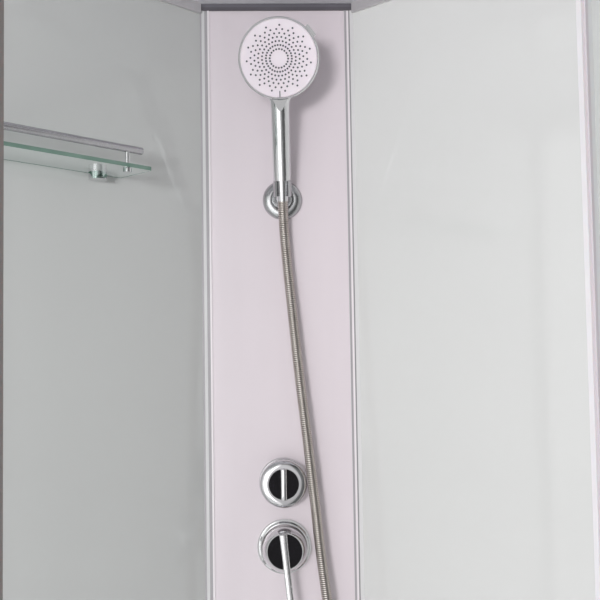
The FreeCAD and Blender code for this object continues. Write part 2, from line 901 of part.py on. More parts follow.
def make_roller_hubs():
    """Per hub: a cap inside the glass, a pin through it, a shoulder, the axle and its end."""
    cap_face = leaf_inner - glass_play
    shoulder_end = roller_inner - roller_side_play
    end_start = roller_inner + roller_width + roller_side_play
    hubs = []
    for angle in hub_spots():
        z = roller_axis
        hub = rod(hub_cap_radius, (cap_face - hub_cap_thickness, 0, z), (cap_face, 0, z))
        hub = hub.fuse([rod(hub_pin_radius, (cap_face, 0, z), (leaf_outer + glass_play, 0, z)),
                        rod(hub_shoulder_radius, (leaf_outer + glass_play, 0, z), (shoulder_end, 0, z)),
                        rod(roller_axle_radius, (shoulder_end, 0, z), (end_start, 0, z)),
                        rod(hub_end_radius, (end_start, 0, z), (end_start + hub_end_thickness, 0, z))])
        hubs.append(at_front(hub.removeSplitter(), angle))
    return Part.makeCompound(hubs)


def make_roller(angle):
    half = roller_width / 2
    bore = roller_axle_radius + running_gap
    groove = roller_radius - roller_groove_depth
    wheel = upright_turned([(bore, 0), (groove, 0), (roller_radius, roller_groove_depth),
                            (roller_radius, 2 * half - roller_groove_depth), (groove, 2 * half),
                            (bore, 2 * half)])
    wheel.rotate(Vector(0, 0, 0), Vector(0, 1, 0), 90)
    wheel.translate(Vector(roller_inner, 0, roller_axis))
    return at_front(wheel, angle)


def make_door_guides():
    """Per guide: a cap inside the glass, a pin through it, and two fingers round the bottom rail's lip."""
    z = guide_height()
    cap_face = leaf_inner - glass_play
    start = leaf_outer + glass_play
    half = guide_width / 2
    lip_low = guide_lip_low - body_gap
    lip_high = guide_lip_low + track_thickness + body_gap
    end = leaf_outer + guide_reach
    guides = []
    for angle in hub_spots():
        web = block((start, -half, lip_low - guide_finger),
                    (start + guide_web, half, lip_high + guide_finger))
        low = block((start, -half, lip_low - guide_finger), (end, half, lip_low))
        high = block((start, -half, lip_high), (end, half, lip_high + guide_finger))
        pin = rod(hub_pin_radius, (cap_face, 0, z), (start, 0, z))
        cap = rod(hub_cap_radius, (cap_face - hub_cap_thickness / 2, 0, z), (cap_face, 0, z))
        guides.append(at_front(web.fuse([low, high, pin, cap]).removeSplitter(), angle))
    return Part.makeCompound(guides)


def roof_screw_spots():
    """Screws through the roof sheet into the top rail, evenly spread over the arc."""
    middle = (rail_inner + rail_outer) / 2
    spots = []
    for index in range(roof_screw_count):
        angle = math.radians(90 * index / (roof_screw_count - 1) - 90)
        spots.append((arc_x + middle * math.cos(angle), arc_y + middle * math.sin(angle)))
    return spots


def column_point(side, out, height):
    """A point given in the column's own frame, in the cabin's."""
    return Vector(column_x + (side + out) / math.sqrt(2), column_y + (side - out) / math.sqrt(2), height)


def make_roof_shell():
    skirt_low = ceiling - roof_skirt_drop
    skirt = rounded_face(square_outline(0), skirt_low).extrude(Vector(0, 0, cabin_height - skirt_low))
    upper = rounded_face(square_outline(roof_sheet), ceiling + roof_sheet)
    lower = rounded_face(square_outline(roof_sheet), skirt_low - overrun)
    holes = [upper.extrude(Vector(0, 0, roof_height + overrun)),
             lower.extrude(Vector(0, 0, roof_skirt_drop + overrun))]
    pipe = column_point(0, -valve_depth, ceiling - overrun)
    neck = column_point(0, rain_distance, ceiling - overrun)
    through = Vector(0, 0, roof_sheet + 2 * overrun)
    holes.append(rod(roof_pipe_hole_radius, pipe, pipe + through))
    holes.append(rod(rain_neck_radius + glass_play, neck, neck + through))
    for x, y in roof_screw_spots():
        start = Vector(x, y, ceiling - overrun)
        holes.append(rod(roof_screw_radius, start, start + through))
    return skirt.cut(holes)


def make_roof_screws():
    top = ceiling + roof_sheet
    screws = []
    for x, y in roof_screw_spots():
        shank = rod(roof_screw_radius, (x, y, ceiling - roof_screw_length), (x, y, top))
        head = rod(roof_screw_head_radius, (x, y, top), (x, y, top + roof_screw_head_height))
        screws.append(shank.fuse(head).removeSplitter())
    return Part.makeCompound(screws)


def make_rain_head():
    """A round overhead spray under the ceiling, held by a nut above the roof sheet."""
    disc_top = ceiling - rain_shoulder_height
    neck_top = ceiling + roof_sheet + rain_neck_height
    head = upright_turned([(0, disc_top - rain_thickness), (rain_radius, disc_top - rain_thickness),
                           (rain_radius, disc_top), (rain_shoulder_radius, disc_top),
                           (rain_shoulder_radius, ceiling), (rain_neck_radius, ceiling),
                           (rain_neck_radius, neck_top), (feed_pipe_radius - feed_pipe_wall, neck_top),
                           (feed_pipe_radius - feed_pipe_wall, disc_top), (0, disc_top)])
    nut = ring(rain_nut_radius, rain_neck_radius, (0, 0, ceiling + roof_sheet),
               (0, 0, ceiling + roof_sheet + rain_nut_height))
    centre = column_point(0, rain_distance, 0)
    head.translate(centre)
    nut.translate(centre)
    return Part.makeCompound([head, nut])


def make_feed_pipes():
    """One pipe up and over to the overhead spray, one down to the hose elbow."""
    spine_top = diverter_height + valve_spine_end
    spine_low = mixer_height - valve_spine_end
    over = ceiling + roof_sheet + overhead_pipe_rise
    neck_top = ceiling + roof_sheet + rain_neck_height
    up = [column_point(0, -valve_depth, spine_top), column_point(0, -valve_depth, over),
          column_point(0, rain_distance, over), column_point(0, rain_distance, neck_top)]
    down = [column_point(0, -valve_depth, spine_low), column_point(0, -valve_depth, outlet_height),
            column_point(0, -outlet_tail_depth, outlet_height)]
    overhead = along_pipe(up, feed_bend_radius, feed_pipe_radius, feed_pipe_wall)
    hand = along_pipe(down, feed_bend_radius, feed_pipe_radius, feed_pipe_wall)
    return Part.makeCompound([overhead, hand])


def left_wall_point(along, off, height):
    """A point on the left wall: along it from the column trim, and off it into the cabin."""
    return Vector(off - wall_face, wall_face - trim_reach - along, height)


def shelf_pair(inset):
    return [shelf_start + inset, shelf_start + shelf_length - inset]


def make_shelf_glass():
    near = left_wall_point(shelf_start, shelf_wall_gap, shelf_low)
    far = left_wall_point(shelf_start + shelf_length, shelf_depth, shelf_low)
    corner = shelf_corner_radius
    face = rounded_face([(near.x, near.y, 0), (near.x, far.y, 0), (far.x, far.y, corner),
                         (far.x, near.y, corner)], shelf_low)
    glass = face.extrude(Vector(0, 0, shelf_thickness))
    holes = []
    rise = Vector(0, 0, shelf_thickness + 2 * overrun)
    for along in shelf_pair(shelf_post_inset):
        start = left_wall_point(along, shelf_rail_offset, shelf_low - overrun)
        holes.append(rod(shelf_stud_radius + shelf_hole_play, start, start + rise))
    for along in shelf_pair(shelf_support_inset):
        start = left_wall_point(along, shelf_support_offset, shelf_low - overrun)
        holes.append(rod(shelf_support_pin_radius + shelf_hole_play, start, start + rise))
    return glass.cut(holes)


def make_shelf_rail():
    height = shelf_top + shelf_rail_rise
    start, end = [left_wall_point(along, shelf_rail_offset, height) for along in shelf_pair(shelf_rail_inset)]
    return ring(shelf_rail_radius, shelf_rail_bore, start, end)


def make_shelf_posts():
    rail_height = shelf_top + shelf_rail_rise
    start, end = [left_wall_point(along, shelf_rail_offset, rail_height) for along in shelf_pair(0)]
    rail_core = rod(shelf_rail_radius, start, end)
    posts = []
    for along in shelf_pair(shelf_post_inset):
        top = left_wall_point(along, shelf_rail_offset, rail_height)
        seat = left_wall_point(along, shelf_rail_offset, shelf_top)
        under = left_wall_point(along, shelf_rail_offset, shelf_low)
        nut_low = left_wall_point(along, shelf_rail_offset, shelf_low - shelf_nut_height)
        post = rod(shelf_post_radius, seat, top).cut(rail_core)
        posts.append(post.fuse([rod(shelf_stud_radius, under, seat), rod(shelf_nut_radius, nut_low, under)]))
    return Part.makeCompound(posts)


def make_shelf_supports():
    supports = []
    for along in shelf_pair(shelf_support_inset):
        under = left_wall_point(along, shelf_support_offset, shelf_low)
        low = left_wall_point(along, shelf_support_offset, shelf_low - shelf_support_height)
        top = left_wall_point(along, shelf_support_offset, shelf_top)
        cap_top = left_wall_point(along, shelf_support_offset, shelf_top + shelf_support_cap_height)
        middle = shelf_low - shelf_support_height / 2
        support = rod(shelf_support_radius, low, under).fuse([
            rod(shelf_support_pin_radius, under, top), rod(shelf_support_cap_radius, top, cap_top),
            rod(shelf_support_stub_radius, left_wall_point(along, 0, middle),
                left_wall_point(along, shelf_support_offset, middle))])
        supports.append(support.removeSplitter())
    return Part.makeCompound(supports)


def make_valve_body():
    """Brass body behind the column: a spine, two necks through the panel and two inlets."""
    depth = valve_depth
    spine_low = mixer_height - valve_spine_end
    spine_top = diverter_height + valve_spine_end
    body = rod(valve_spine_radius, (0, depth, spine_low), (0, depth, spine_top))
    pieces = []
    for height, radius, front, flange in (
            (mixer_height, mixer_neck_radius, mixer_neck_front, mixer_flange_radius),
            (diverter_height, diverter_neck_radius, diverter_neck_front, diverter_flange_radius)):
        pieces.append(rod(radius, (0, depth, height), (0, -front, height)))
        pieces.append(rod(flange, (0, column_sheet, height),
                          (0, column_sheet + valve_flange_thickness, height)))
    half = inlet_spacing / 2
    pieces.append(rod(inlet_arm_radius, (-half, depth, mixer_height), (half, depth, mixer_height)))
    for side in (-half, half):
        low = mixer_height - inlet_drop
        pieces.append(Part.makeSphere(inlet_arm_radius, Vector(side, depth, mixer_height)))
        pieces.append(rod(inlet_arm_radius, (side, depth, low), (side, depth, mixer_height)))
        pieces.append(rod(inlet_thread_radius, (side, depth, low - inlet_thread_length), (side, depth, low)))
    body = body.fuse(pieces).removeSplitter()
    bore = feed_pipe_radius - feed_pipe_wall
    bores = [rod(bore, (0, depth, spine_low - overrun), (0, depth, spine_top + overrun))]
    for side in (-half, half):
        bores.append(rod(bore, (side, depth, mixer_height - inlet_drop - inlet_thread_length - overrun),
                         (side, depth, mixer_height)))
    return at_column(body.cut(bores))


def at_mixer(shape, turn=0.0):
    """Places a mixer piece at its height, turned about the axis that points out of the column."""
    placed = shape.copy()
    placed.rotate(Vector(0, 0, 0), Vector(0, 1, 0), -turn)
    placed.translate(Vector(0, 0, mixer_height))
    return at_column(placed)


def make_mixer_ring():
    first, second, third = mixer_ring_heights
    radius = mixer_ring_radius
    step = mixer_ring_step
    outline = [(mixer_ring_bore, 0), (radius, 0), (radius, first), (radius - step, first),
               (radius - step, second), (radius - 2 * step, second + step / 2), (radius - 2 * step, third),
               (mixer_ring_bore, third)]
    return at_mixer(facing_turned(outline))


def sphere_radius_at(out, radius):
    """Radius of the dome's sphere at a distance out from the column."""
    return math.sqrt(radius ** 2 - (out - dome_centre) ** 2)


def make_mixer_spindle():
    """A turning disc with two ears and the cross pin that the handle tips on."""
    back = mixer_neck_front + body_gap
    disc = rod(spindle_radius, (0, -back, 0), (0, -spindle_front, 0))
    half = spindle_ear_half_height
    ears = [block((side_low, -spindle_ear_front, -half), (side_low + spindle_ear_outer - spindle_ear_inner,
                                                          -back, half))
            for side_low in (spindle_ear_inner, -spindle_ear_outer)]
    pin = rod(spindle_pin_radius, (-spindle_ear_outer, -dome_centre, 0), (spindle_ear_outer, -dome_centre, 0))
    return at_mixer(disc.fuse(ears + [pin]).removeSplitter(), lever_turn)


def make_mixer_handle():
    """The chrome dome: a hollow sphere cut at its face, with a boss on the spindle's pin."""
    inner = dome_radius - dome_wall
    back_outer = sphere_radius_at(dome_back, dome_radius)
    back_inner = sphere_radius_at(dome_back, inner)
    face_outer = sphere_radius_at(dome_face, dome_radius)
    floor_inner = sphere_radius_at(dome_floor, inner)
    recess = insert_radius + insert_play
    shell = facing_turned([(back_inner, dome_back), (back_outer, dome_back),
                           ((dome_radius, dome_centre), (face_outer, dome_face)), (recess, dome_face),
                           (recess, dome_face - insert_depth), (0, dome_face - insert_depth), (0, dome_floor),
                           (floor_inner, dome_floor), ((inner, dome_centre), (back_inner, dome_back))])
    half = spindle_ear_inner - body_gap
    radius = handle_boss_radius
    boss = block((-half, -dome_floor - overrun, -radius), (half, -dome_centre, radius))
    boss = boss.fuse(rod(radius, (-half, -dome_centre, 0), (half, -dome_centre, 0)))
    hole = rod(spindle_pin_radius + running_gap, (-dome_radius / 2, -dome_centre, 0),
               (dome_radius / 2, -dome_centre, 0))
    return at_mixer(shell.fuse(boss).cut(hole).removeSplitter(), lever_turn)


def make_mixer_insert():
    back = dome_face - insert_depth
    return at_mixer(rod(insert_radius, (0, -back, 0), (0, -back - insert_thickness, 0)), lever_turn)


def make_mixer_lever():
    """A slim bar over the face, hooked behind the dome's upper edge, a little further out at its tip."""
    seat = dome_face
    front = seat + lever_thickness
    half_top = lever_top_width / 2
    half_tip = lever_tip_width / 2
    rim = sphere_radius_at(dome_face, dome_radius)
    middle = (rim - lever_below) / 2
    side = Part.Face(closed_wire([
        Vector(0, -seat, lever_above), Vector(0, -seat, -rim),
        (Vector(0, -seat - lever_tip_forward / 4, middle - rim / 2),
         Vector(0, -seat - lever_tip_forward, -lever_below)),
        Vector(0, -front - lever_tip_forward / 2, -lever_below),
        (Vector(0, -front - lever_tip_forward / 8, middle - rim / 2), Vector(0, -front, -rim)),
        Vector(0, -front, lever_above)]))
    bar = side.extrude(Vector(lever_top_width, 0, 0))
    bar.translate(Vector(-half_top, 0, 0))
    depth = front + lever_tip_forward
    plan = Part.Face(closed_wire([
        Vector(-half_top, 0, lever_above), Vector(half_top, 0, lever_above),
        Vector(half_tip, 0, -lever_below),
        Vector(-half_tip, 0, -lever_below)])).extrude(Vector(0, -depth, 0))
    return at_mixer(bar.common(plan), lever_turn)


def at_diverter(shape):
    placed = shape.copy()
    placed.translate(Vector(0, 0, diverter_height))
    return at_column(placed)


def make_diverter_ring():
    return at_diverter(facing_turned([(diverter_hole_radius, 0), (diverter_ring_radius, 0),
                                      (diverter_ring_radius, diverter_ring_height / 2),
                                      (knob_base_radius, diverter_ring_height),
                                      (diverter_hole_radius, diverter_ring_height)]))


def make_diverter_knob():
    """A domed knob with a recess for the black insert and a grip bar across it."""
    base = diverter_ring_height + body_gap
    floor = knob_face_height - knob_recess_depth
    dome = facing_turned([(knob_bore_radius, base), (knob_base_radius, base),
                          ((knob_shoulder_radius, knob_shoulder_height),
                           (knob_face_radius, knob_face_height)),
                          (knob_recess_radius, knob_face_height), (knob_recess_radius, floor), (0, floor),
                          (0, knob_bore_depth + body_gap), (knob_bore_radius, knob_bore_depth + body_gap)])
    half = bar_width / 2
    bar = block((-half, -bar_height, -bar_radius), (half, -knob_face_height, bar_radius))
    return at_diverter(dome.fuse(bar).removeSplitter())


def make_diverter_insert():
    floor = knob_face_height - knob_recess_depth
    radius = knob_recess_radius - insert_play
    return at_diverter(rod(radius, (0, -floor, 0), (0, -floor - knob_insert_thickness, 0)))


def make_outlet_elbow():
    """A rose on the column, a stub out of it and a threaded leg that points down."""
    z = outlet_height
    leg_low = z - outlet_drop
    rose = facing_turned([(0, 0), (outlet_rose_radius, 0), (outlet_rose_radius, outlet_rose_thickness / 2),
                          (outlet_rose_radius - outlet_rose_thickness / 2, outlet_rose_thickness),
                          (0, outlet_rose_thickness)])
    rose.translate(Vector(0, 0, z))
    tail = rod(outlet_tail_radius, (0, outlet_tail_depth, z), (0, 0, z))
    stub = rod(outlet_stub_radius, (0, 0, z), (0, -outlet_reach, z))
    knee = Part.makeSphere(outlet_stub_radius, Vector(0, -outlet_reach, z))
    leg = rod(outlet_stub_radius, (0, -outlet_reach, z), (0, -outlet_reach, leg_low))
    thread_low = leg_low - outlet_thread_length
    thread = rod(outlet_thread_radius, (0, -outlet_reach, leg_low), (0, -outlet_reach, thread_low))
    bore = feed_pipe_radius - feed_pipe_wall
    bores = [rod(bore, (0, outlet_tail_depth + overrun, z), (0, -outlet_reach, z)),
             rod(bore, (0, -outlet_reach, z), (0, -outlet_reach, thread_low - overrun)),
             Part.makeSphere(bore, Vector(0, -outlet_reach, z))]
    return at_column(rose.fuse([tail, stub, knee, leg, thread]).cut(bores).removeSplitter())


def outlet_nut_bottom():
    return outlet_height - outlet_drop - outlet_nut_length


def make_outlet_nut():
    top = outlet_height - outlet_drop
    low = outlet_nut_bottom()
    bore = outlet_thread_radius + nipple_play
    nut = upright_turned([(hose_bore, low), (outlet_nut_tip_radius, low),
                          (outlet_nut_radius, top - outlet_nut_collar),
                          (outlet_nut_radius, top), (bore, top), (bore, top - outlet_thread_length),
                          (hose_bore, top - outlet_thread_length)])
    nut.translate(Vector(0, -outlet_reach, 0))
    return at_column(nut)


def handset_place():
    """From the hand shower's own frame (Z along the handle, -Y out of its face) to the column's."""
    tilt = FreeCAD.Rotation(Vector(1, 0, 0), handset_tilt)
    lean = FreeCAD.Rotation(Vector(0, 1, 0), handset_lean)
    return FreeCAD.Placement(Vector(handset_side, -handset_out, handset_height), lean.multiply(tilt))


def in_column_frame(shape):
    placed = shape.copy()
    placed.Placement = handset_place().multiply(placed.Placement)
    return placed


def nut_radius_at(height):
    share = (height - nut_bottom) / (nut_top - nut_bottom)
    return nut_bottom_radius + share * (nut_top_radius - nut_bottom_radius)


def at_head(shape):
    shape.translate(Vector(0, 0, head_height))
    return shape


def make_handset_shell():
    """Chrome head and handle in one, hollow behind the spray face and along the handle."""
    outline = [(0, head_back), ((head_back_mid_radius, head_back_mid), (head_radius, head_rim)),
               (collar_radius, head_rim), (collar_radius, collar_front), (0, collar_front)]
    head = at_head(facing_turned(outline))
    points = [Vector(radius, 0, height) for height, radius in handle_profile]
    skin = Part.BSplineCurve()
    skin.interpolate(points)
    base = Vector(0, 0, points[0].z)
    top = Vector(0, 0, points[-1].z)
    edges = [Part.makeLine(base, points[0]), skin.toShape(), Part.makeLine(points[-1], top),
             Part.makeLine(top, base)]
    handle = Part.Face(Part.Wire(edges)).revolve(Vector(0, 0, 0), Vector(0, 0, 1), 360)
    swing = at_head(rod(head_radius + body_gap, (0, -head_rim, 0), (0, -head_radius, 0)))
    flat = [Vector(-head_radius, -out, height) for out, height in (
        (neck_slope_out, neck_slope_low), (selector_front, neck_slope_high), (selector_front, head_height),
        (head_radius, head_height), (head_radius, neck_slope_low), (neck_slope_out, neck_slope_low))]
    neck_front = Part.Face(Part.makePolygon(flat)).extrude(Vector(2 * head_radius, 0, 0))
    neck_top = head_height - head_radius - 2 * body_gap
    pointer = block((-pointer_width / 2, -pointer_crest, neck_top - pointer_on_neck),
                    (pointer_width / 2, pointer_height - selector_front, neck_top))
    nipple = rod(nipple_radius, (0, 0, nut_top - nipple_length), (0, 0, nut_top))
    inner = collar_bore
    chamber = at_head(facing_turned([(0, head_back + head_wall),
                                     (head_back_mid_radius, head_back_mid + head_wall),
                                     (inner, collar_front - head_wall), (inner, collar_front + overrun),
                                     (0, collar_front + overrun)]))
    waterway = rod(handle_bore, (0, 0, nut_top + head_wall), (0, 0, head_height - collar_bore + overrun))
    throat = rod(nipple_bore, (0, 0, nut_top - nipple_length - overrun), (0, 0, nut_top + 2 * head_wall))
    neck = handle.cut([swing, neck_front])
    shell = head.fuse([neck, pointer, nipple]).cut([chamber, waterway, throat])
    return at_column(in_column_frame(shell.removeSplitter()))


def make_spray_face():
    """A white disc with rings of rubber nozzles; every other ring is turned by half a step."""
    edge = face_front - face_edge
    disc = facing_turned([(0, collar_front), (face_radius, collar_front), (face_radius, edge),
                          (face_radius - face_edge, face_front), (0, face_front)])
    nozzles = []
    for row, (radius, count) in enumerate(nozzle_rows):
        step = 360 / count
        for index in range(count):
            angle = math.radians(index * step + (row % 2) * step / 2 + nozzle_turn)
            x = radius * math.sin(angle)
            z = radius * math.cos(angle)
            nozzles.append(rod(nozzle_radius, (x, nozzle_sink - face_front, z),
                               (x, -face_front - nozzle_height, z)))
    pointer = block((-pointer_width / 2, -face_front - nozzle_height, face_edge - face_radius),
                    (pointer_width / 2, nozzle_sink - face_front, face_edge - face_radius + pointer_on_face))
    return at_column(in_column_frame(at_head(disc.fuse(nozzles + [pointer]))))


def make_selector_ring():
    """The turning chrome ring round the spray face, with its finger tab."""
    outer = head_radius
    body = facing_turned([(selector_bore, selector_back), (outer, selector_back),
                          (outer, selector_front - selector_chamfer),
                          (outer - selector_chamfer, selector_front), (selector_bore, selector_front)])
    half = tab_length / 2
    tab = block((outer - selector_chamfer, -selector_back - tab_thickness, -half),
                (outer + tab_height, -selector_back, half))
    tab.rotate(Vector(0, 0, 0), Vector(0, 1, 0), -tab_angle)
    return at_column(in_column_frame(at_head(body.fuse(tab).removeSplitter())))


def make_handset_nut():
    """The conical nut that hangs in the holder; the hose ends on its lower face."""
    bore = nipple_radius + nipple_play
    low = nut_top - nipple_length
    nut = upright_turned([(hose_bore, nut_bottom), (nut_bottom_radius, nut_bottom), (nut_top_radius, nut_top),
                          (bore, nut_top), (bore, low), (hose_bore, low)])
    return at_column(in_column_frame(nut))


def make_holder():
    """A domed rose on the column, a boss and a cup with a slot for the hose."""
    rose = facing_turned([(0, 0), (rose_radius, 0), (rose_radius, rose_edge),
                          ((rose_radius * math.cos(math.radians(30)), rose_dome * math.sin(math.radians(60))),
                           (rose_dome_radius, rose_dome)), (0, rose_dome)])
    rose.translate(Vector(rose_side, 0, rose_height))
    boss = rod(holder_boss_radius, (rose_side, -rose_dome / 2, rose_height),
               (handset_side, -handset_out, handset_height))
    cup = in_column_frame(rod(cup_radius, (0, 0, cup_bottom), (0, 0, cup_top)))
    gap_low = nut_bottom - overrun
    gap_high = nut_top + overrun
    seat = in_column_frame(upright_turned([(0, gap_low), (nut_radius_at(gap_low) + body_gap, gap_low),
                                           (nut_radius_at(gap_high) + body_gap, gap_high), (0, gap_high)]))
    half = cup_slot / 2
    slot = in_column_frame(block((-half, -2 * cup_radius, cup_bottom - overrun),
                                 (half, 0, cup_top + overrun)))
    return at_column(rose.fuse([boss, cup]).cut([seat, slot]).removeSplitter())


def hose_points():
    """The hose's line in the cabin's frame: both ends lie on the nuts' faces, square to them."""
    place = handset_place()
    ahead = [place.multVec(Vector(0, 0, z)) for z in (nut_bottom, nut_bottom - hose_lead)]
    leaving = [column_point(point.x, -point.y, point.z) for point in ahead]
    last = column_point(0, outlet_reach, outlet_nut_bottom())
    hanging = [column_point(side, out, handset_height + rise) for side, out, rise in hose_route]
    return leaving + hanging + [last]


def make_hose():
    """A tube on straight runs and tangent arcs; each arc is as large as its two runs allow."""
    points = hose_points()
    edges = []
    here = points[0]
    length = 0
    radii = []
    for index in range(1, len(points) - 1):
        corner = points[index]
        back = points[index - 1] - corner
        ahead = points[index + 1] - corner
        shorter = min(back.Length, ahead.Length)
        turn = math.pi - back.getAngle(ahead)
        reach = 0.45 * shorter
        radius = reach / math.tan(turn / 2)
        radii.append(round(radius))
        start = corner + back.normalize() * reach
        end = corner + ahead.normalize() * reach
        middle_way = (start + end) * 0.5 - corner
        centre_distance = radius / math.cos(turn / 2)
        middle = corner + middle_way.normalize() * (centre_distance - radius)
        edges.append(Part.makeLine(here, start))
        edges.append(Part.Arc(start, middle, end).toShape())
        length += edges[-2].Length + edges[-1].Length
        here = end
    edges.append(Part.makeLine(here, points[-1]))
    length += edges[-1].Length
    line = Part.Wire(edges)

    def swept(section_radius):
        section = Part.Wire(Part.makeCircle(section_radius, points[0], points[1] - points[0]))
        return line.makePipeShell([section], True, False)

    hose = swept(hose_radius).cut(swept(hose_bore))
    expected = math.pi * (hose_radius ** 2 - hose_bore ** 2) * length
    print("hose length", round(length, 1), "volume share", round(hose.Volume / expected, 4))
    print("hose bend radii", radii)
    return hose


def all_pieces():
    """Every sub-part by its name."""
    right = {
        "wall_glass": make_wall_glass(),
        "corner_post": make_corner_post(),
        "column_trim": make_column_trim(),
        "fixed_glass": make_fixed_glass(),
        "door_glass": make_door_glass(),
        "door_seal": make_door_seal(),
        "door_handle": make_door_handle(),
        "roller_hubs": make_roller_hubs(),
        "door_guides": make_door_guides(),
        "roller_front": make_roller(hub_spots()[0]),
        "roller_rear": make_roller(hub_spots()[1]),
    }
    pieces = {
        "tray": make_tray(),
        "front_apron": make_front_apron(),
        "bearers": make_bearers(),
        "foot_rods": make_foot_rods(),
        "foot_pads": make_foot_pads(),
        "waste_trap": make_waste_trap(),
        "waste_flange": make_waste_flange(),
        "waste_cover": make_waste_cover(),
        "wall_channels": make_wall_channels(),
        "column_panel": make_column_panel(),
        "column_cap": make_column_cap(),
        "bottom_rail": make_bottom_rail(),
        "top_rail": make_top_rail(),
        "roof_shell": make_roof_shell(),
        "roof_screws": make_roof_screws(),
        "rain_head": make_rain_head(),
        "feed_pipes": make_feed_pipes(),
        "shelf_glass": make_shelf_glass(),
        "shelf_rail": make_shelf_rail(),
        "shelf_posts": make_shelf_posts(),
        "shelf_supports": make_shelf_supports(),
        "valve_body": make_valve_body(),
        "mixer_ring": make_mixer_ring(),
        "mixer_spindle": make_mixer_spindle(),
        "mixer_handle": make_mixer_handle(),
        "mixer_insert": make_mixer_insert(),
        "mixer_lever": make_mixer_lever(),
        "diverter_ring": make_diverter_ring(),
        "diverter_knob": make_diverter_knob(),
        "diverter_insert": make_diverter_insert(),
        "outlet_elbow": make_outlet_elbow(),
        "outlet_nut": make_outlet_nut(),
        "handset_shell": make_handset_shell(),
        "spray_face": make_spray_face(),
        "selector_ring": make_selector_ring(),
        "handset_nut": make_handset_nut(),
        "holder": make_holder(),
        "shower_hose": make_hose(),
    }
    for name, shape in right.items():
        pieces[name + "_right"] = shape
        pieces[name + "_left"] = mirrored(shape)
    return pieces


os.makedirs("parts", exist_ok=True)
for name, shape in all_pieces().items():
    shape.exportStep("parts/" + name + ".step")
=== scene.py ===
import math

import bmesh
import bpy
from mathutils import Matrix, Vector


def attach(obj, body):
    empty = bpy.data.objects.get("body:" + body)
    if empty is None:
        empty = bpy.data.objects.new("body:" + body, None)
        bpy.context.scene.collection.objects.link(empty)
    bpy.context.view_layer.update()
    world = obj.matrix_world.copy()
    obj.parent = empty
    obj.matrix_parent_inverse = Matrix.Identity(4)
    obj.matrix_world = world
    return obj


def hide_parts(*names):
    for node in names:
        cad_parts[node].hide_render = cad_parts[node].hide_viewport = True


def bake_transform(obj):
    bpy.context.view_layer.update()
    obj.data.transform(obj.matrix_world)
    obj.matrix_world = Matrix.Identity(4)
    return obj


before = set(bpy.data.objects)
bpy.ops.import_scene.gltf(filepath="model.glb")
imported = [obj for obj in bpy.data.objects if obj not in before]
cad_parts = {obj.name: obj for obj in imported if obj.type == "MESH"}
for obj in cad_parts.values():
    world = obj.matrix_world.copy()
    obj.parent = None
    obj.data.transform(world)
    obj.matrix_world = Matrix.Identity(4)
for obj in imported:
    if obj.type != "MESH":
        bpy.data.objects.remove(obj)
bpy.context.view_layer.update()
scene = bpy.context.scene
mm = 0.001

# The column's own frame, in mm: side to the right, out of its face, and height over the floor
half_column = 117.5
wall_face = 432.0
column_shift = half_column / math.sqrt(2)
column_x = column_shift - wall_face
column_y = wall_face - column_shift
diagonal = math.sqrt(0.5)


def column_point(side, out, height):
    """A place of the column's frame, in metres."""
    return Vector((column_x + (side + out) * diagonal, column_y + (side - out) * diagonal, height)) * mm


def column_way(side, out, up):
    """A direction of the column's frame."""
    return Vector(((side + out) * diagonal, (side - out) * diagonal, up))


# Camera at the photograph's viewing angle, with its focal length in pixels
yaw, pitch, roll = math.radians(2.011), math.radians(3.475), math.radians(-0.919)
camera_place = column_point(-24.0, 1519.0, 1525.7)
focal_length, picture_width, sensor_width = 994.1, 600, 36.0
ahead = column_way(math.sin(yaw) * math.cos(pitch), -math.cos(yaw) * math.cos(pitch), math.sin(pitch))
level = column_way(math.cos(yaw), math.sin(yaw), 0.0)
above = level.cross(ahead)
right = level * math.cos(roll) + above * math.sin(roll)
up = above * math.cos(roll) - level * math.sin(roll)
camera = bpy.data.objects.new("camera", bpy.data.cameras.new("camera"))
scene.collection.objects.link(camera)
camera.matrix_world = Matrix.Translation(camera_place) @ Matrix(
    ((right.x, up.x, -ahead.x), (right.y, up.y, -ahead.y), (right.z, up.z, -ahead.z))).to_4x4()
camera.data.sensor_width = sensor_width
camera.data.lens = focal_length / picture_width * sensor_width
camera.data.shift_y = 0.015
camera.data.clip_start = 0.02
camera.data.clip_end = 60.0
scene.camera = camera
scene.view_settings.view_transform = "Standard"

# Shared by the materials: the noises' detail, and the stretch of a surface brushed along its height
noise_detail = 3.0
brushed = (6, 6, 0.5)


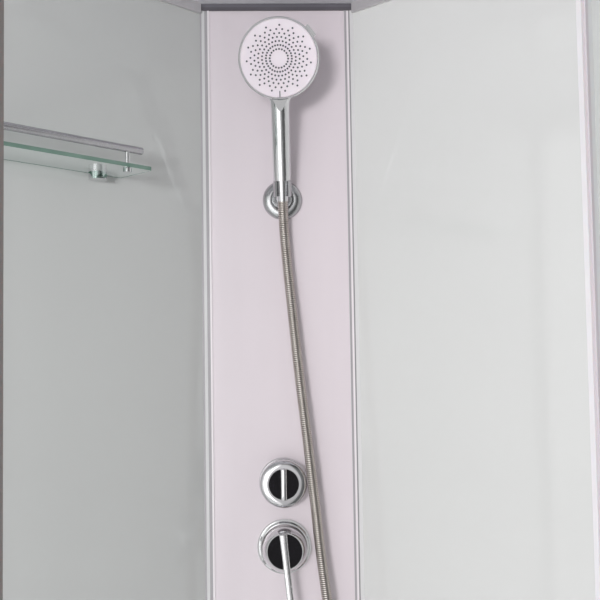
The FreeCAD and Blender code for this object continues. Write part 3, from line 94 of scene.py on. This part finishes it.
class Nodes:
    """A node tree, with short ways to add and join its nodes."""

    def __init__(self, tree):
        self.tree = tree

    def add(self, kind, **values):
        """A new node with its settings."""
        node = self.tree.nodes.new(kind)
        for key, value in values.items():
            setattr(node, key, value)
        return node

    def join(self, source, target):
        """Joins an output to an input, or gives the input a fixed value."""
        if isinstance(source, bpy.types.NodeSocket):
            self.tree.links.new(source, target)
        else:
            target.default_value = source

    def result(self, kind, output, sources, **values):
        """An output of a new node whose first inputs get these sources."""
        node = self.add(kind, **values)
        for source, target in zip(sources, node.inputs):
            self.join(source, target)
        return node.outputs[output]

    def reckon(self, operation, *numbers):
        """What a math node makes of outputs or numbers."""
        return self.result("ShaderNodeMath", "Value", numbers, operation=operation)

    def reach(self, place, way):
        """How far a place lies along a direction."""
        return self.result("ShaderNodeVectorMath", "Value", (place, way), operation="DOT_PRODUCT")

    def moved(self, place, origin):
        """A place as seen from an origin."""
        return self.result("ShaderNodeVectorMath", "Vector", (place, origin), operation="SUBTRACT")

    def mixed(self, factor, first, second):
        """The first shader where the factor is 0 and the second where it is 1."""
        return self.result("ShaderNodeMixShader", "Shader", (factor, first, second))

    def rescaled(self, value, start, end, low=0.0, high=1.0):
        """Maps start..end of a value to low..high."""
        node = self.add("ShaderNodeMapRange")
        for key, number in (("From Min", start), ("From Max", end), ("To Min", low), ("To Max", high)):
            self.join(number, node.inputs[key])
        self.join(value, node.inputs["Value"])
        return node.outputs["Result"]

    def ramp(self, value, stops):
        """Colours along a value that runs from 0 to 1."""
        node = self.add("ShaderNodeValToRGB")
        elements = node.color_ramp.elements
        while len(elements) < len(stops):
            elements.new(0.5)
        for element, (position, colour) in zip(elements, stops):
            element.position = position
            element.color = (*colour, 1)
        self.join(value, node.inputs["Fac"])
        return node.outputs["Color"]

    def any_ray(self, first, *others):
        """1 for a ray that is any of the light path's named kinds."""
        kinds = self.add("ShaderNodeLightPath").outputs
        found = kinds[first]
        for kind in others:
            found = self.reckon("MAXIMUM", found, kinds[kind])
        return found


class Shading(Nodes):
    """A material's nodes round its principled surface."""

    def __init__(self, name):
        self.material = bpy.data.materials.new(name)
        self.material.use_nodes = True
        super().__init__(self.material.node_tree)
        self.surface = self.tree.nodes["Principled BSDF"]
        self.output = self.tree.nodes["Material Output"]
        self.place = None

    def set(self, **values):
        """Fixed values of the surface, with _ for each space in an input's name."""
        for key, value in values.items():
            self.join(value, self.surface.inputs[key.replace("_", " ")])

    def give(self, source, name):
        """Joins an output to one of the surface's inputs."""
        self.join(source, self.surface.inputs[name])

    def spot(self):
        """The object's own coordinates, in metres."""
        if self.place is None:
            self.place = self.add("ShaderNodeTexCoord")
        return self.place.outputs["Object"]

    def line(self, origin, way):
        """How far the surface lies along a line from its origin, in metres."""
        return self.reach(self.moved(self.spot(), origin), way)

    def within(self, origin, way, low, high):
        """1 where the surface lies between low and high along a line, in metres."""
        place = self.line(origin, way)
        return self.reckon("MULTIPLY", self.reckon("GREATER_THAN", place, low),
                           self.reckon("LESS_THAN", place, high))

    def noise(self, scale, stretch=(1, 1, 1)):
        """A noise over the object's own coordinates times stretch."""
        mapping = self.add("ShaderNodeMapping")
        self.join(stretch, mapping.inputs["Scale"])
        self.join(self.spot(), mapping.inputs["Vector"])
        node = self.add("ShaderNodeTexNoise")
        self.join(scale, node.inputs["Scale"])
        self.join(noise_detail, node.inputs["Detail"])
        self.join(mapping.outputs["Vector"], node.inputs["Vector"])
        return node.outputs["Fac"]

    def spread(self, noise, low, high):
        """Maps 0.25..0.75 of a noise to low..high."""
        return self.rescaled(noise, 0.25, 0.75, low, high)

    def drift(self, scale, low=0.0, high=1.0, stretch=(1, 1, 1)):
        """A value that drifts between low and high over the object."""
        return self.spread(self.noise(scale, stretch), low, high)

    def tones(self, value, low, high):
        """The colour between low and high for a value from 0 to 1; low may be an output."""
        node = self.add("ShaderNodeMix", data_type="RGBA")
        self.join(value, node.inputs["Factor"])
        self.join(low if isinstance(low, bpy.types.NodeSocket) else (*low, 1), node.inputs["A"])
        self.join((*high, 1), node.inputs["B"])
        return node.outputs["Result"]

    def bump(self, height, strength, distance):
        """A relief of the surface."""
        node = self.add("ShaderNodeBump")
        self.join(strength, node.inputs["Strength"])
        self.join(distance, node.inputs["Distance"])
        self.join(height, node.inputs["Height"])
        self.give(node.outputs["Normal"], "Normal")

    def vary(self, low, high, scale, rough, stretch=(1, 1, 1), relief=0.0, **values):
        """Lets colour and roughness drift between two values, with an optional fine relief."""
        self.set(**values)
        self.give(self.tones(self.drift(scale, stretch=stretch), low, high), "Base Color")
        fine = self.noise(scale * 6, stretch)
        self.give(self.spread(fine, *rough), "Roughness")
        if relief:
            self.bump(fine, 0.35, relief)


def varied(name, low, high, scale, rough, **values):
    """A material whose colour and roughness drift."""
    shading = Shading(name)
    shading.vary(low, high, scale, rough, **values)
    return shading.material


def banded(name, origin, way, stops, rough=(0.3, 0.4), **values):
    """Straight bands of colour along a line: each stop is a distance in mm and its colour."""
    shading = Shading(name)
    shading.set(**values)
    low, high = stops[0][0], stops[-1][0]
    share = shading.rescaled(shading.line(origin, way), low * mm, high * mm)
    bands = shading.ramp(share, [((place - low) / (high - low), colour) for place, colour in stops])
    grain = shading.add("ShaderNodeVectorMath", operation="SCALE")
    shading.join(bands, grain.inputs[0])
    shading.join(shading.drift(6.0, 0.94, 1.0, brushed), grain.inputs["Scale"])
    shading.give(grain.outputs["Vector"], "Base Color")
    shading.give(shading.drift(36.0, *rough, stretch=brushed), "Roughness")
    return shading.material


def clear_glass(name, tint, depth_colour, density, lying=False):
    """Clear safety glass that lets lamp light pass and is green where it is seen through its depth."""
    glass = Shading(name)
    glass.set(Roughness=0.0, IOR=1.5, Transmission_Weight=1.0)
    paler = tuple(min(1.0, value + 0.01) for value in tint)
    glass.give(glass.tones(glass.drift(2.0), tint, paler), "Base Color")
    absorb = glass.add("ShaderNodeVolumeAbsorption")
    glass.join((*depth_colour, 1), absorb.inputs["Color"])
    glass.join(density, absorb.inputs["Density"])
    glass.join(absorb.outputs["Volume"], glass.output.inputs["Volume"])

    # Shadow, diffuse and glossy rays pass straight through it, a little dimmed
    passed = glass.any_ray("Is Shadow Ray", "Is Diffuse Ray", "Is Glossy Ray")
    passing = glass.add("ShaderNodeBsdfTransparent")
    glass.join((0.965, 0.966, 0.966, 1), passing.inputs["Color"])
    pane = glass.mixed(passed, glass.surface.outputs["BSDF"], passing.outputs["BSDF"])

    # Its ground edges: the top and bottom of an upright pane, or the sides of a lying one
    edge_slope, edge_share = 0.7, 0.8
    shape = glass.add("ShaderNodeNewGeometry")
    steep = glass.reckon("ABSOLUTE", glass.reach(shape.outputs["Normal"], (0, 0, 1)))
    on_edge = glass.reckon("LESS_THAN" if lying else "GREATER_THAN", steep, edge_slope)
    edge = glass.add("ShaderNodeBsdfPrincipled")
    glass.join(glass.tones(glass.drift(14.0), (0.085, 0.165, 0.13), (0.15, 0.25, 0.20)),
               edge.inputs["Base Color"])
    glass.join(0.12, edge.inputs["Roughness"])
    whole = glass.mixed(glass.reckon("MULTIPLY", on_edge, edge_share), pane, edge.outputs["BSDF"])
    glass.join(whole, glass.output.inputs["Surface"])
    return glass.material


def dress(material, *nodes):
    """Gives CAD nodes their material."""
    for node in nodes:
        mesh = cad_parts[node].data
        mesh.materials.clear()
        mesh.materials.append(material)


def loft(rows, around, start=0, closed=False):
    """Faces between rows of points: capped at both ends, or from the last row to the first."""
    faces = []
    for row in range(rows if closed else rows - 1):
        near, far = start + row * around, start + (row + 1) % rows * around
        for k in range(around):
            after = (k + 1) % around
            faces.append((near + k, near + after, far + after, far + k))
    if not closed:
        faces.append(tuple(range(start, start + around))[::-1])
        faces.append(tuple(range(start + (rows - 1) * around, start + rows * around)))
    return faces


def mirrored(half, *middle):
    """A row of pairs, what lies in its middle, and the row backwards on the other side."""
    return (*half, *middle, *((-first, second) for first, second in reversed(half)))


def make(name, points, faces, *materials):
    """A piece of the scene from its points and faces."""
    mesh = bpy.data.meshes.new(name)
    mesh.from_pydata([tuple(point) for point in points], [], faces)
    for material in materials:
        mesh.materials.append(material)
    piece = bpy.data.objects.new(name, mesh)
    scene.collection.objects.link(piece)
    return piece


def shade_smooth(mesh):
    """Smooth faces."""
    mesh.polygons.foreach_set("use_smooth", [True] * len(mesh.polygons))


def soften(mesh, crease):
    """Turns faces outwards and shades them smooth, with sharp edges from crease on, in degrees."""
    shaper = bmesh.new()
    shaper.from_mesh(mesh)
    bmesh.ops.recalc_face_normals(shaper, faces=shaper.faces)
    shaper.to_mesh(mesh)
    shaper.free()
    shade_smooth(mesh)
    mesh.set_sharp_from_angle(angle=math.radians(crease))


chrome = varied("chrome", (0.70, 0.70, 0.71), (0.77, 0.77, 0.78), 9.0, (0.04, 0.08), Metallic=1.0)
hose_steel = varied("hose_steel", (0.60, 0.545, 0.505), (0.70, 0.645, 0.605), 60.0, (0.16, 0.26),
                    Metallic=1.0)
# The hose's grooves: the same steel, painted dark as shade
hose_groove_painted_shade = varied("hose_groove_painted_shade", (0.12, 0.097, 0.085), (0.17, 0.145, 0.125), 60.0, (0.4, 0.5),
                     Metallic=0.8)
satin_lever = varied("satin_chrome", (0.66, 0.65, 0.67), (0.74, 0.73, 0.74), 40.0, (0.22, 0.3),
                     stretch=(8, 8, 0.4), Metallic=1.0)
shelf_rod = varied("satin_rod", (0.46, 0.45, 0.47), (0.54, 0.53, 0.55), 30.0, (0.2, 0.28),
                   stretch=(0.5, 0.5, 6), Metallic=0.9)
column = varied("column_satin", (0.642, 0.578, 0.615), (0.673, 0.607, 0.644), 2.2, (0.36, 0.46),
                stretch=(5, 5, 0.35), relief=0.00002, Metallic=0.25)
profile = varied("satin_aluminium", (0.64, 0.62, 0.63), (0.70, 0.68, 0.69), 5.0, (0.3, 0.4),
                 stretch=brushed, relief=0.00001, Metallic=0.75)
# The two rear walls are the same glass: the left one is painted darker as shade, the right one paler as light
shaded_left_wall = varied("wall_left_painted_shade", (0.488, 0.488, 0.486), (0.508, 0.508, 0.506), 1.4, (0.05, 0.08),
                   Coat_Weight=0.3, Coat_Roughness=0.02)
lit_right_wall = varied("wall_right_painted_light", (0.566, 0.566, 0.562), (0.586, 0.586, 0.582), 1.4, (0.05, 0.08),
                    Coat_Weight=0.3, Coat_Roughness=0.02)
acrylic = varied("tray_acrylic", (0.80, 0.81, 0.81), (0.84, 0.85, 0.85), 3.0, (0.12, 0.2),
                 Coat_Weight=0.4)
roof = varied("roof_sheet", (0.66, 0.65, 0.69), (0.70, 0.69, 0.73), 3.0, (0.32, 0.42), relief=0.00002)
black = varied("black_face", (0.003, 0.0025, 0.0035), (0.006, 0.005, 0.007), 12.0, (0.06, 0.11),
               Specular_IOR_Level=0.2)
rubber = varied("foot_rubber", (0.03, 0.03, 0.03), (0.05, 0.05, 0.05), 40.0, (0.6, 0.75),
                relief=0.0001)
grey_plastic = varied("grey_plastic", (0.36, 0.37, 0.38), (0.42, 0.43, 0.44), 20.0, (0.4, 0.5),
                      relief=0.00004)
wheel_plastic = varied("wheel_plastic", (0.72, 0.72, 0.71), (0.78, 0.78, 0.77), 60.0, (0.3, 0.4))
zinc = varied("galvanised", (0.45, 0.46, 0.47), (0.6, 0.61, 0.61), 35.0, (0.35, 0.5), relief=0.00003,
              Metallic=0.9)
brass = varied("brass_casting", (0.62, 0.46, 0.2), (0.72, 0.55, 0.27), 25.0, (0.25, 0.4),
               relief=0.00006, Metallic=1.0)
front_glass = clear_glass("front_glass", (0.985, 0.99, 0.988), (0.35, 0.60, 0.52), 8.0)
shelf_glass = clear_glass("shelf_glass", (0.95, 0.97, 0.96), (0.35, 0.72, 0.58), 18.0, lying=True)
plating = varied("holder_plating", (0.46, 0.46, 0.47), (0.54, 0.54, 0.55), 20.0, (0.16, 0.22),
                 Metallic=1.0)

dress(acrylic, "tray", "front_apron")
dress(zinc, "bearers", "foot_rods", "roof_screws")
dress(chrome, "waste_flange", "waste_cover", "rain_head", "feed_pipes", "shelf_posts", "shelf_supports",
      "mixer_ring", "mixer_handle", "diverter_ring", "outlet_elbow", "outlet_nut", "handset_shell",
      "selector_ring", "handset_nut")
dress(profile, "wall_channels", "bottom_rail", "top_rail")
dress(rubber, "foot_pads")
dress(grey_plastic, "waste_trap")
dress(column, "column_panel")
dress(roof, "roof_shell")
dress(shaded_left_wall, "wall_glass_left")
dress(lit_right_wall, "wall_glass_right")
dress(shelf_glass, "shelf_glass")
dress(shelf_rod, "shelf_rail")
dress(brass, "valve_body", "mixer_spindle")
dress(black, "mixer_insert", "diverter_insert")
dress(plating, "holder")
for side in ("left", "right"):
    dress(profile, "corner_post_" + side)
    dress(front_glass, "fixed_glass_" + side, "door_glass_" + side)
    dress(chrome, "door_handle_" + side, "roller_hubs_" + side)
    dress(grey_plastic, "door_guides_" + side)
    dress(wheel_plastic, "roller_front_" + side, "roller_rear_" + side)

# The upper knob's chrome in steps from the column's face forwards: painted shade near the face, painted
# highlights further out
shadowed, polished, knob_highlight = (0.34, 0.33, 0.34), (0.70, 0.69, 0.71), (0.76, 0.75, 0.77)
knob_shade_stops = ((0.0, shadowed), (24.0, shadowed), (26.5, (0.62, 0.61, 0.63)), (28.5, polished),
              (33.2, (0.72, 0.71, 0.73)), (34.0, knob_highlight), (50.0, knob_highlight))
knob_chrome_painted_shade = banded("knob_chrome_painted_shade", column_point(0, 0, 0), column_way(0, 1, 0), knob_shade_stops,
                     rough=(0.03, 0.07), Metallic=1.0)

# The upper knob's shown form: a skirt, a rolled edge, a low dome and a crowned grip bar. Its section
# holds radii and distances out of the column's face, the bar's section sides and such distances, and
# the bar's rows heights and the share of its crown.
knob_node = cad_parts["diverter_knob"]
knob_heights = [(knob_node.matrix_world @ vertex.co).z / mm for vertex in knob_node.data.vertices]
knob_height = (min(knob_heights) + max(knob_heights)) / 2
knob_bore, knob_foot, skirt_radius = 14.0, 5.6, 35.0
dome_radius, dome_out, dome_width, dome_rise, dome_steps = 24.4, 27.0, 11.0, 7.0, 14
face_radius, face_out = 22.7, 31.6
bar_level = 36.0
knob_section = [(knob_bore, knob_foot), (skirt_radius, knob_foot), (35.2, 6.2)]
for step in range(dome_steps + 1):
    turn = math.radians(90.0 * step / dome_steps)
    knob_section.append((dome_radius + dome_width * math.cos(turn), dome_out + dome_rise * math.sin(turn)))
knob_section += [(face_radius, dome_out + dome_rise), (face_radius, face_out), (knob_bore, face_out)]
bar_section = mirrored(((-4.5, face_out), (-4.5, 37.4), (-4.1, 38.5), (-3.0, 39.4), (-1.5, 39.9)),
                       (0.0, 40.0))
bar_rows = mirrored(((-23.6, 0.0), (-23.4, 0.55), (-22.7, 0.85), (-21.4, 1.0)))
around_knob = 96
knob_points = []
for radius, out in knob_section:
    for k in range(around_knob):
        angle = 2 * math.pi * k / around_knob
        side, rise = radius * math.cos(angle), radius * math.sin(angle)
        knob_points.append(column_point(side, out, knob_height + rise))
knob_faces = loft(len(knob_section), around_knob, closed=True)
knob_faces += loft(len(bar_rows), len(bar_section), start=len(knob_points))
for rise, share in bar_rows:
    for side, out in bar_section:
        crown = out if out == face_out else bar_level + (out - bar_level) * share
        knob_points.append(column_point(side, crown, knob_height + rise))
knob_shown = make("knob_shown", knob_points, knob_faces, knob_chrome_painted_shade)
soften(knob_shown.data, crease=32)
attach(knob_shown, "diverter")
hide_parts("diverter_knob")

# The lever's shown form: its front is crowned across, and its ends are rounded. Its section holds
# shares of its half width and of its depth, and its rows heights and the share of its crown.
knob_to_mixer = 96.0
mixer_height = knob_height - knob_to_mixer
lever_turn = math.radians(5.7)
lever_top, lever_foot, bend_top, bend_power = 26.5, -100.0, -27.0, 1.2
top_half, foot_narrowing, end_share = 6.0, 1.5, 0.9
lever_back, lever_front = 48.1, 54.0
back_bend, front_bend = 9.0, 4.5
lever_section = mirrored(((-1.0, 0.0), (-1.0, 0.5), (-0.95, 0.68), (-0.82, 0.83), (-0.6, 0.93),
                          (-0.3, 0.985)), (0.0, 1.0))
lever_rows = [(26.4, 0.5), (26.1, 0.75), (25.3, 0.92), (24.0, 1.0)]
lever_rows += [(24.0 - 12.0 * step, 1.0) for step in range(1, 5)]
lever_rows += [(bend_top - 7.1 * step, 1.0) for step in range(1, 11)]
lever_rows += [(-99.0, 0.85), (-99.7, 0.65), (-99.95, 0.4)]
lever_points = []
for rise, share in lever_rows:
    half = top_half - foot_narrowing * (lever_top - rise) / (lever_top - lever_foot)
    bend = max(0.0, (bend_top - rise) / (bend_top - lever_foot)) ** bend_power
    back, front = lever_back + back_bend * bend, lever_front + front_bend * bend
    for across, depth in lever_section:
        x = half * across * (end_share + (1 - end_share) * share)
        side = x * math.cos(lever_turn) - rise * math.sin(lever_turn)
        height = mixer_height + x * math.sin(lever_turn) + rise * math.cos(lever_turn)
        lever_points.append(column_point(side, back + (front - back) * depth * share, height))
lever_shown = make("lever_shown", lever_points, loft(len(lever_rows), len(lever_section)), satin_lever)
soften(lever_shown.data, crease=50)
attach(lever_shown, "mixer_handle")
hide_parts("mixer_lever")

# The trims' grooves and lips from the column's side outwards, as painted highlights and painted shade,
# different on the left and right trims
column_half = 105.0
trim_highlight, middle, trim_shade, trim_deep_shade = (0.78, 0.73, 0.76), (0.64, 0.63, 0.64), (0.36, 0.34, 0.36), (0.24, 0.23, 0.24)
trim_light_and_shade = {
    "left": ((0.0, trim_highlight), (2.4, trim_highlight), (2.9, trim_shade), (7.1, trim_shade), (7.6, middle), (11.3, middle), (11.8, trim_shade),
             (16.0, trim_shade)),
    "right": ((0.0, middle), (0.6, trim_shade), (3.2, trim_shade), (4.2, trim_highlight), (6.6, trim_highlight), (7.3, trim_deep_shade), (8.5, trim_deep_shade),
              (9.4, middle), (16.0, middle)),
}

# The door seals' nose, web and channel as bands from the free edge along the leaf; the left seal's nose is
# painted dark as shade
leaf_radius = 489.0
seal_angle = math.radians(26.5)
front_centre_out = 352.0
seal_nose_with_shade = {"left": (0.20, 0.19, 0.19), "right": (0.62, 0.585, 0.61)}
seal_web, seal_channel = (0.55, 0.50, 0.53), (0.42, 0.375, 0.40)
for side, sign in (("left", -1), ("right", 1)):
    # Each trim's painted highlights and painted shade
    trim = banded("column_trim_" + side, column_point(sign * column_half, 0, 0), column_way(sign, 0, 0),
                  trim_light_and_shade[side], Metallic=0.2)
    dress(trim, "column_trim_" + side)
    edge = column_point(sign * leaf_radius * math.sin(seal_angle),
                        front_centre_out + leaf_radius * math.cos(seal_angle), 0)
    along_leaf = column_way(sign * math.cos(seal_angle), -math.sin(seal_angle), 0)
    nose = seal_nose_with_shade[side]
    seal = banded("door_seal_" + side, edge, along_leaf, (
        (-3.0, nose), (0.4, nose), (0.6, seal_web), (2.9, seal_web), (3.1, seal_channel), (5.4, seal_channel),
        (5.7, (0.49, 0.48, 0.49)), (12.0, (0.52, 0.52, 0.52))), Subsurface_Weight=0.1)
    dress(seal, "door_seal_" + side)

# The hand shower's own directions
tilt, lean = math.radians(19.0), math.radians(-1.2)


def handset_way(across, out, along):
    """A direction of the hand shower: across its face, out of it, and along its handle."""
    forwards = out * math.cos(tilt) + along * math.sin(tilt)
    upwards = along * math.cos(tilt) - out * math.sin(tilt)
    side = across * math.cos(lean) + upwards * math.sin(lean)
    return column_way(side, forwards, upwards * math.cos(lean) - across * math.sin(lean))


handset_height = 1794.0
head_reach, nut_reach, hose_lead_reach = 195.0, 14.0, 44.0
handset_origin = column_point(4.6, 33.0, handset_height)
handle_axis = handset_way(0, 0, 1)
face_normal = handset_way(0, 1, 0)
head_centre = handset_origin + handle_axis * head_reach * mm

# The spray face, with its nozzles dark where they stand out of it
nozzle_low, nozzle_high = 12.56, 20.0
face = Shading("spray_face")
face.set(Roughness=0.32, Subsurface_Weight=0.05)
nozzles = face.within(head_centre, face_normal, nozzle_low * mm, nozzle_high * mm)
white = face.tones(face.drift(30.0), (0.69, 0.61, 0.66), (0.72, 0.64, 0.69))
face.give(face.tones(nozzles, white, (0.06, 0.06, 0.07)), "Base Color")
face.bump(face.noise(900.0), 0.1, 0.00002)
dress(face.material, "spray_face")

# The column cap's strip, painted dark as the shade above the column, a little paler in its upper part
cap_split = 2089.5
cap = Shading("column_cap_painted_shade")
cap.set(Metallic=0.4)
upper = cap.within(Vector((0, 0, cap_split * mm)), Vector((0, 0, 1)), 0.0, 1.0)
shaded_strip = cap.tones(cap.drift(8.0, stretch=(1, 1, 6)), (0.105, 0.098, 0.112), (0.13, 0.12, 0.135))
cap.give(cap.tones(upper, shaded_strip, (0.15, 0.143, 0.165)), "Base Color")
cap.give(cap.drift(40.0, 0.3, 0.4), "Roughness")
dress(cap.material, "column_cap")

# The hose's route from the hand shower's nut to the outlet: side, out and rise from the hand shower
hose_start = handset_origin - handle_axis * nut_reach * mm
hose_lead = handset_origin - handle_axis * hose_lead_reach * mm
hose_route = (
    (9.4, 18.2, -100.0),
    (15.2, 21.5, -162.0),
    (24.2, 26.6, -264.0),
    (35.8, 30.6, -370.0),
    (45.6, 33.4, -462.0),
    (52.6, 34.6, -538.0),
    (61.8, 36.8, -612.0),
    (73.4, 38.0, -714.0),
    (84.0, 38.8, -832.0),
    (89.5, 40.2, -938.0),
    (89.0, 41.6, -1018.0),
    (67.4, 43.0, -1058.7),
    (27.5, 44.4, -1083.6),
    (-18.5, 44.0, -1085.2),
    (-61.0, 43.0, -1062.5),
    (-85.6, 42.0, -1021.6),
    (-84.8, 41.0, -964.0),
    (-63.7, 40.0, -909.3),
    (-33.7, 39.0, -864.2),
    (-8.7, 38.2, -822.9),
    (0.0, 38.0, -788.0),
    (0.0, 38.0, -760.0),
)
controls = [hose_start, hose_lead]
controls += [column_point(side, out, handset_height + rise) for side, out, rise in hose_route]
line = bpy.data.curves.new("hose_line", "CURVE")
line.dimensions = "3D"
spline = line.splines.new("NURBS")
spline.points.add(len(controls) - 1)
for point, place in zip(spline.points, controls):
    point.co = (*place, 1.0)
spline.order_u = 3
spline.use_endpoint_u = True
spline.resolution_u = 24
line_object = bpy.data.objects.new("hose_line", line)
scene.collection.objects.link(line_object)
bpy.context.view_layer.update()
sampled = bpy.data.meshes.new_from_object(line_object)
path = [vertex.co.copy() for vertex in sampled.vertices]
bpy.data.objects.remove(line_object)

distances = [0.0]
for first, second in zip(path, path[1:]):
    distances.append(distances[-1] + (second - first).length)
hose_length = distances[-1]


def at_distance(distance):
    """Point and direction on the hose's line."""
    low, high = 0, len(distances) - 1
    while high - low > 1:
        middle = (low + high) // 2
        if distances[middle] <= distance:
            low = middle
        else:
            high = middle
    share = (distance - distances[low]) / (distances[high] - distances[low])
    return path[low].lerp(path[high], share), (path[high] - path[low]).normalized()


# Its ribs: shares of a rib's length and radii, with a groove between two ribs whose rows get the grooves'
# painted shade
rib_pitch = 2.9 * mm
rib_count = round(hose_length / rib_pitch)
groove_radius = 6.9
rib_profile = ((0.0, groove_radius), (0.16, 7.45), (0.32, 7.68), (0.5, 7.75), (0.68, 7.68), (0.84, 7.45))
shaded_groove_rows = (0, len(rib_profile) - 1)
rows = [((rib + share) * hose_length / rib_count, radius * mm)
        for rib in range(rib_count) for share, radius in rib_profile]
rows.append((hose_length, groove_radius * mm))
around_hose = 20
hose_points = []
side_way = at_distance(0.0)[1].orthogonal().normalized()
for distance, radius in rows:
    centre, way = at_distance(distance)
    side_way = (side_way - way * side_way.dot(way)).normalized()
    other_way = way.cross(side_way)
    for k in range(around_hose):
        angle = 2 * math.pi * k / around_hose
        hose_points.append(centre + (side_way * math.cos(angle) + other_way * math.sin(angle)) * radius)
hose_faces = loft(len(rows), around_hose)
hose = make("hose_ribbed", hose_points, hose_faces, hose_steel, hose_groove_painted_shade)
shade_smooth(hose.data)
hose.data.polygons.foreach_set("material_index", [
    int(index // around_hose % len(rib_profile) in shaded_groove_rows) for index in range(len(hose_faces))])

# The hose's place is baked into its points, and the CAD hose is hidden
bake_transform(hose)
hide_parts("shower_hose")

# What polished metal mirrors: a white room with soft dark uprights at fixed bearings from the column's front
bearings = ((-180, 0.30), (-144, 0.33), (-116, 0.66), (-90, 0.80), (-60, 0.88), (-38, 0.92), (-26, 0.97),
            (-20, 1.0), (-5, 1.0), (-2, 0.55), (8, 0.52), (13, 0.42), (22, 0.20), (36, 0.16), (46, 0.08),
            (54, 0.08), (62, 0.16), (78, 0.24), (100, 0.27), (180, 0.30))
rises = ((-1.0, 0.4), (-0.42, 0.4), (-0.2, 1.0), (0.36, 1.0), (0.52, 0.45), (1.0, 0.4))
mirrored_level = 1.37
mirrored_floor = 0.8 * mirrored_level
room_light, seen_light = 0.46, 1.0


def by_bearing(nodes, direction):
    """The uprights' grey level for a direction from the column."""
    parts = [nodes.reach(direction, way) for way in (column_way(1, 0, 0), column_way(0, 1, 0))]
    turn = nodes.rescaled(nodes.reckon("ARCTAN2", *parts), -math.pi, math.pi)
    return nodes.ramp(turn, [((angle + 180) / 360, (grey,) * 3) for angle, grey in bearings])


# The floor: a plain grey, and to glossy rays the uprights' light
floor_reach = 12.0
corners = [(x * floor_reach, y * floor_reach, 0) for x, y in ((-1, -1), (1, -1), (1, 1), (-1, 1))]
ground = Shading("floor_plain")
ground.vary((0.80, 0.80, 0.80), (0.82, 0.82, 0.82), 0.8, (0.5, 0.6))
floor = make("floor", corners, [(0, 1, 2, 3)], ground.material)
position = ground.add("ShaderNodeNewGeometry")
glow = ground.add("ShaderNodeEmission")
ground.join(by_bearing(ground, ground.moved(position.outputs["Position"], column_point(0, 0, 0))),
            glow.inputs["Color"])
ground.join(mirrored_floor, glow.inputs["Strength"])
shown_floor = ground.mixed(ground.any_ray("Is Glossy Ray"), ground.surface.outputs["BSDF"],
                           glow.outputs["Emission"])
ground.join(shown_floor, ground.output.inputs["Surface"])

# The world: white where it is seen, plain light elsewhere, and uprights in tiers for glossy rays
world = bpy.data.worlds.new("studio")
scene.world = world
world.use_nodes = True
sky = Nodes(world.node_tree)
background = sky.tree.nodes["Background"]
sky.join((1, 1, 1, 1), background.inputs["Color"])
seen = sky.any_ray("Is Camera Ray", "Is Glossy Ray", "Is Transmission Ray")
direction = sky.add("ShaderNodeTexCoord").outputs["Generated"]
split = sky.add("ShaderNodeSeparateXYZ")
sky.join(direction, split.inputs["Vector"])
tiers = sky.ramp(sky.rescaled(split.outputs["Z"], -1.0, 1.0),
                 [((rise + 1) / 2, (grey,) * 3) for rise, grey in rises])
uprights = sky.reckon("MULTIPLY", by_bearing(sky, direction), tiers)
room = sky.add("ShaderNodeMix", data_type="FLOAT")
sky.join(sky.any_ray("Is Glossy Ray"), room.inputs["Factor"])
sky.join(sky.rescaled(seen, 0.0, 1.0, room_light, seen_light), room.inputs["A"])
sky.join(sky.reckon("MULTIPLY", uprights, mirrored_level), room.inputs["B"])
sky.join(room.outputs["Result"], background.inputs["Strength"])


def lamp(name, place, target, width, height, power):
    """A soft rectangular lamp that neither metal nor the camera shows."""
    data = bpy.data.lights.new(name, "AREA")
    data.shape = "RECTANGLE"
    data.size = width
    data.size_y = height
    data.energy = power
    light = bpy.data.objects.new(name, data)
    scene.collection.objects.link(light)
    light.location = place
    light.rotation_euler = (target - place).to_track_quat("-Z", "Y").to_euler()
    light.visible_glossy = False
    light.visible_camera = False
    return light


lamp("key", column_point(-1000, 3600, 1650), column_point(0, 0, 1600), width=0.6, height=0.6, power=92)
panel = lamp("panel", column_point(-1100, 2470, 1150), column_point(0, 0, 1150), width=1.75, height=2.2,
             power=15)
panel.visible_glossy = True
lamp("back", Vector((-2.2, 2.4, 3.0)), Vector((0, 0, 1.0)), width=2.5, height=2.5, power=60)
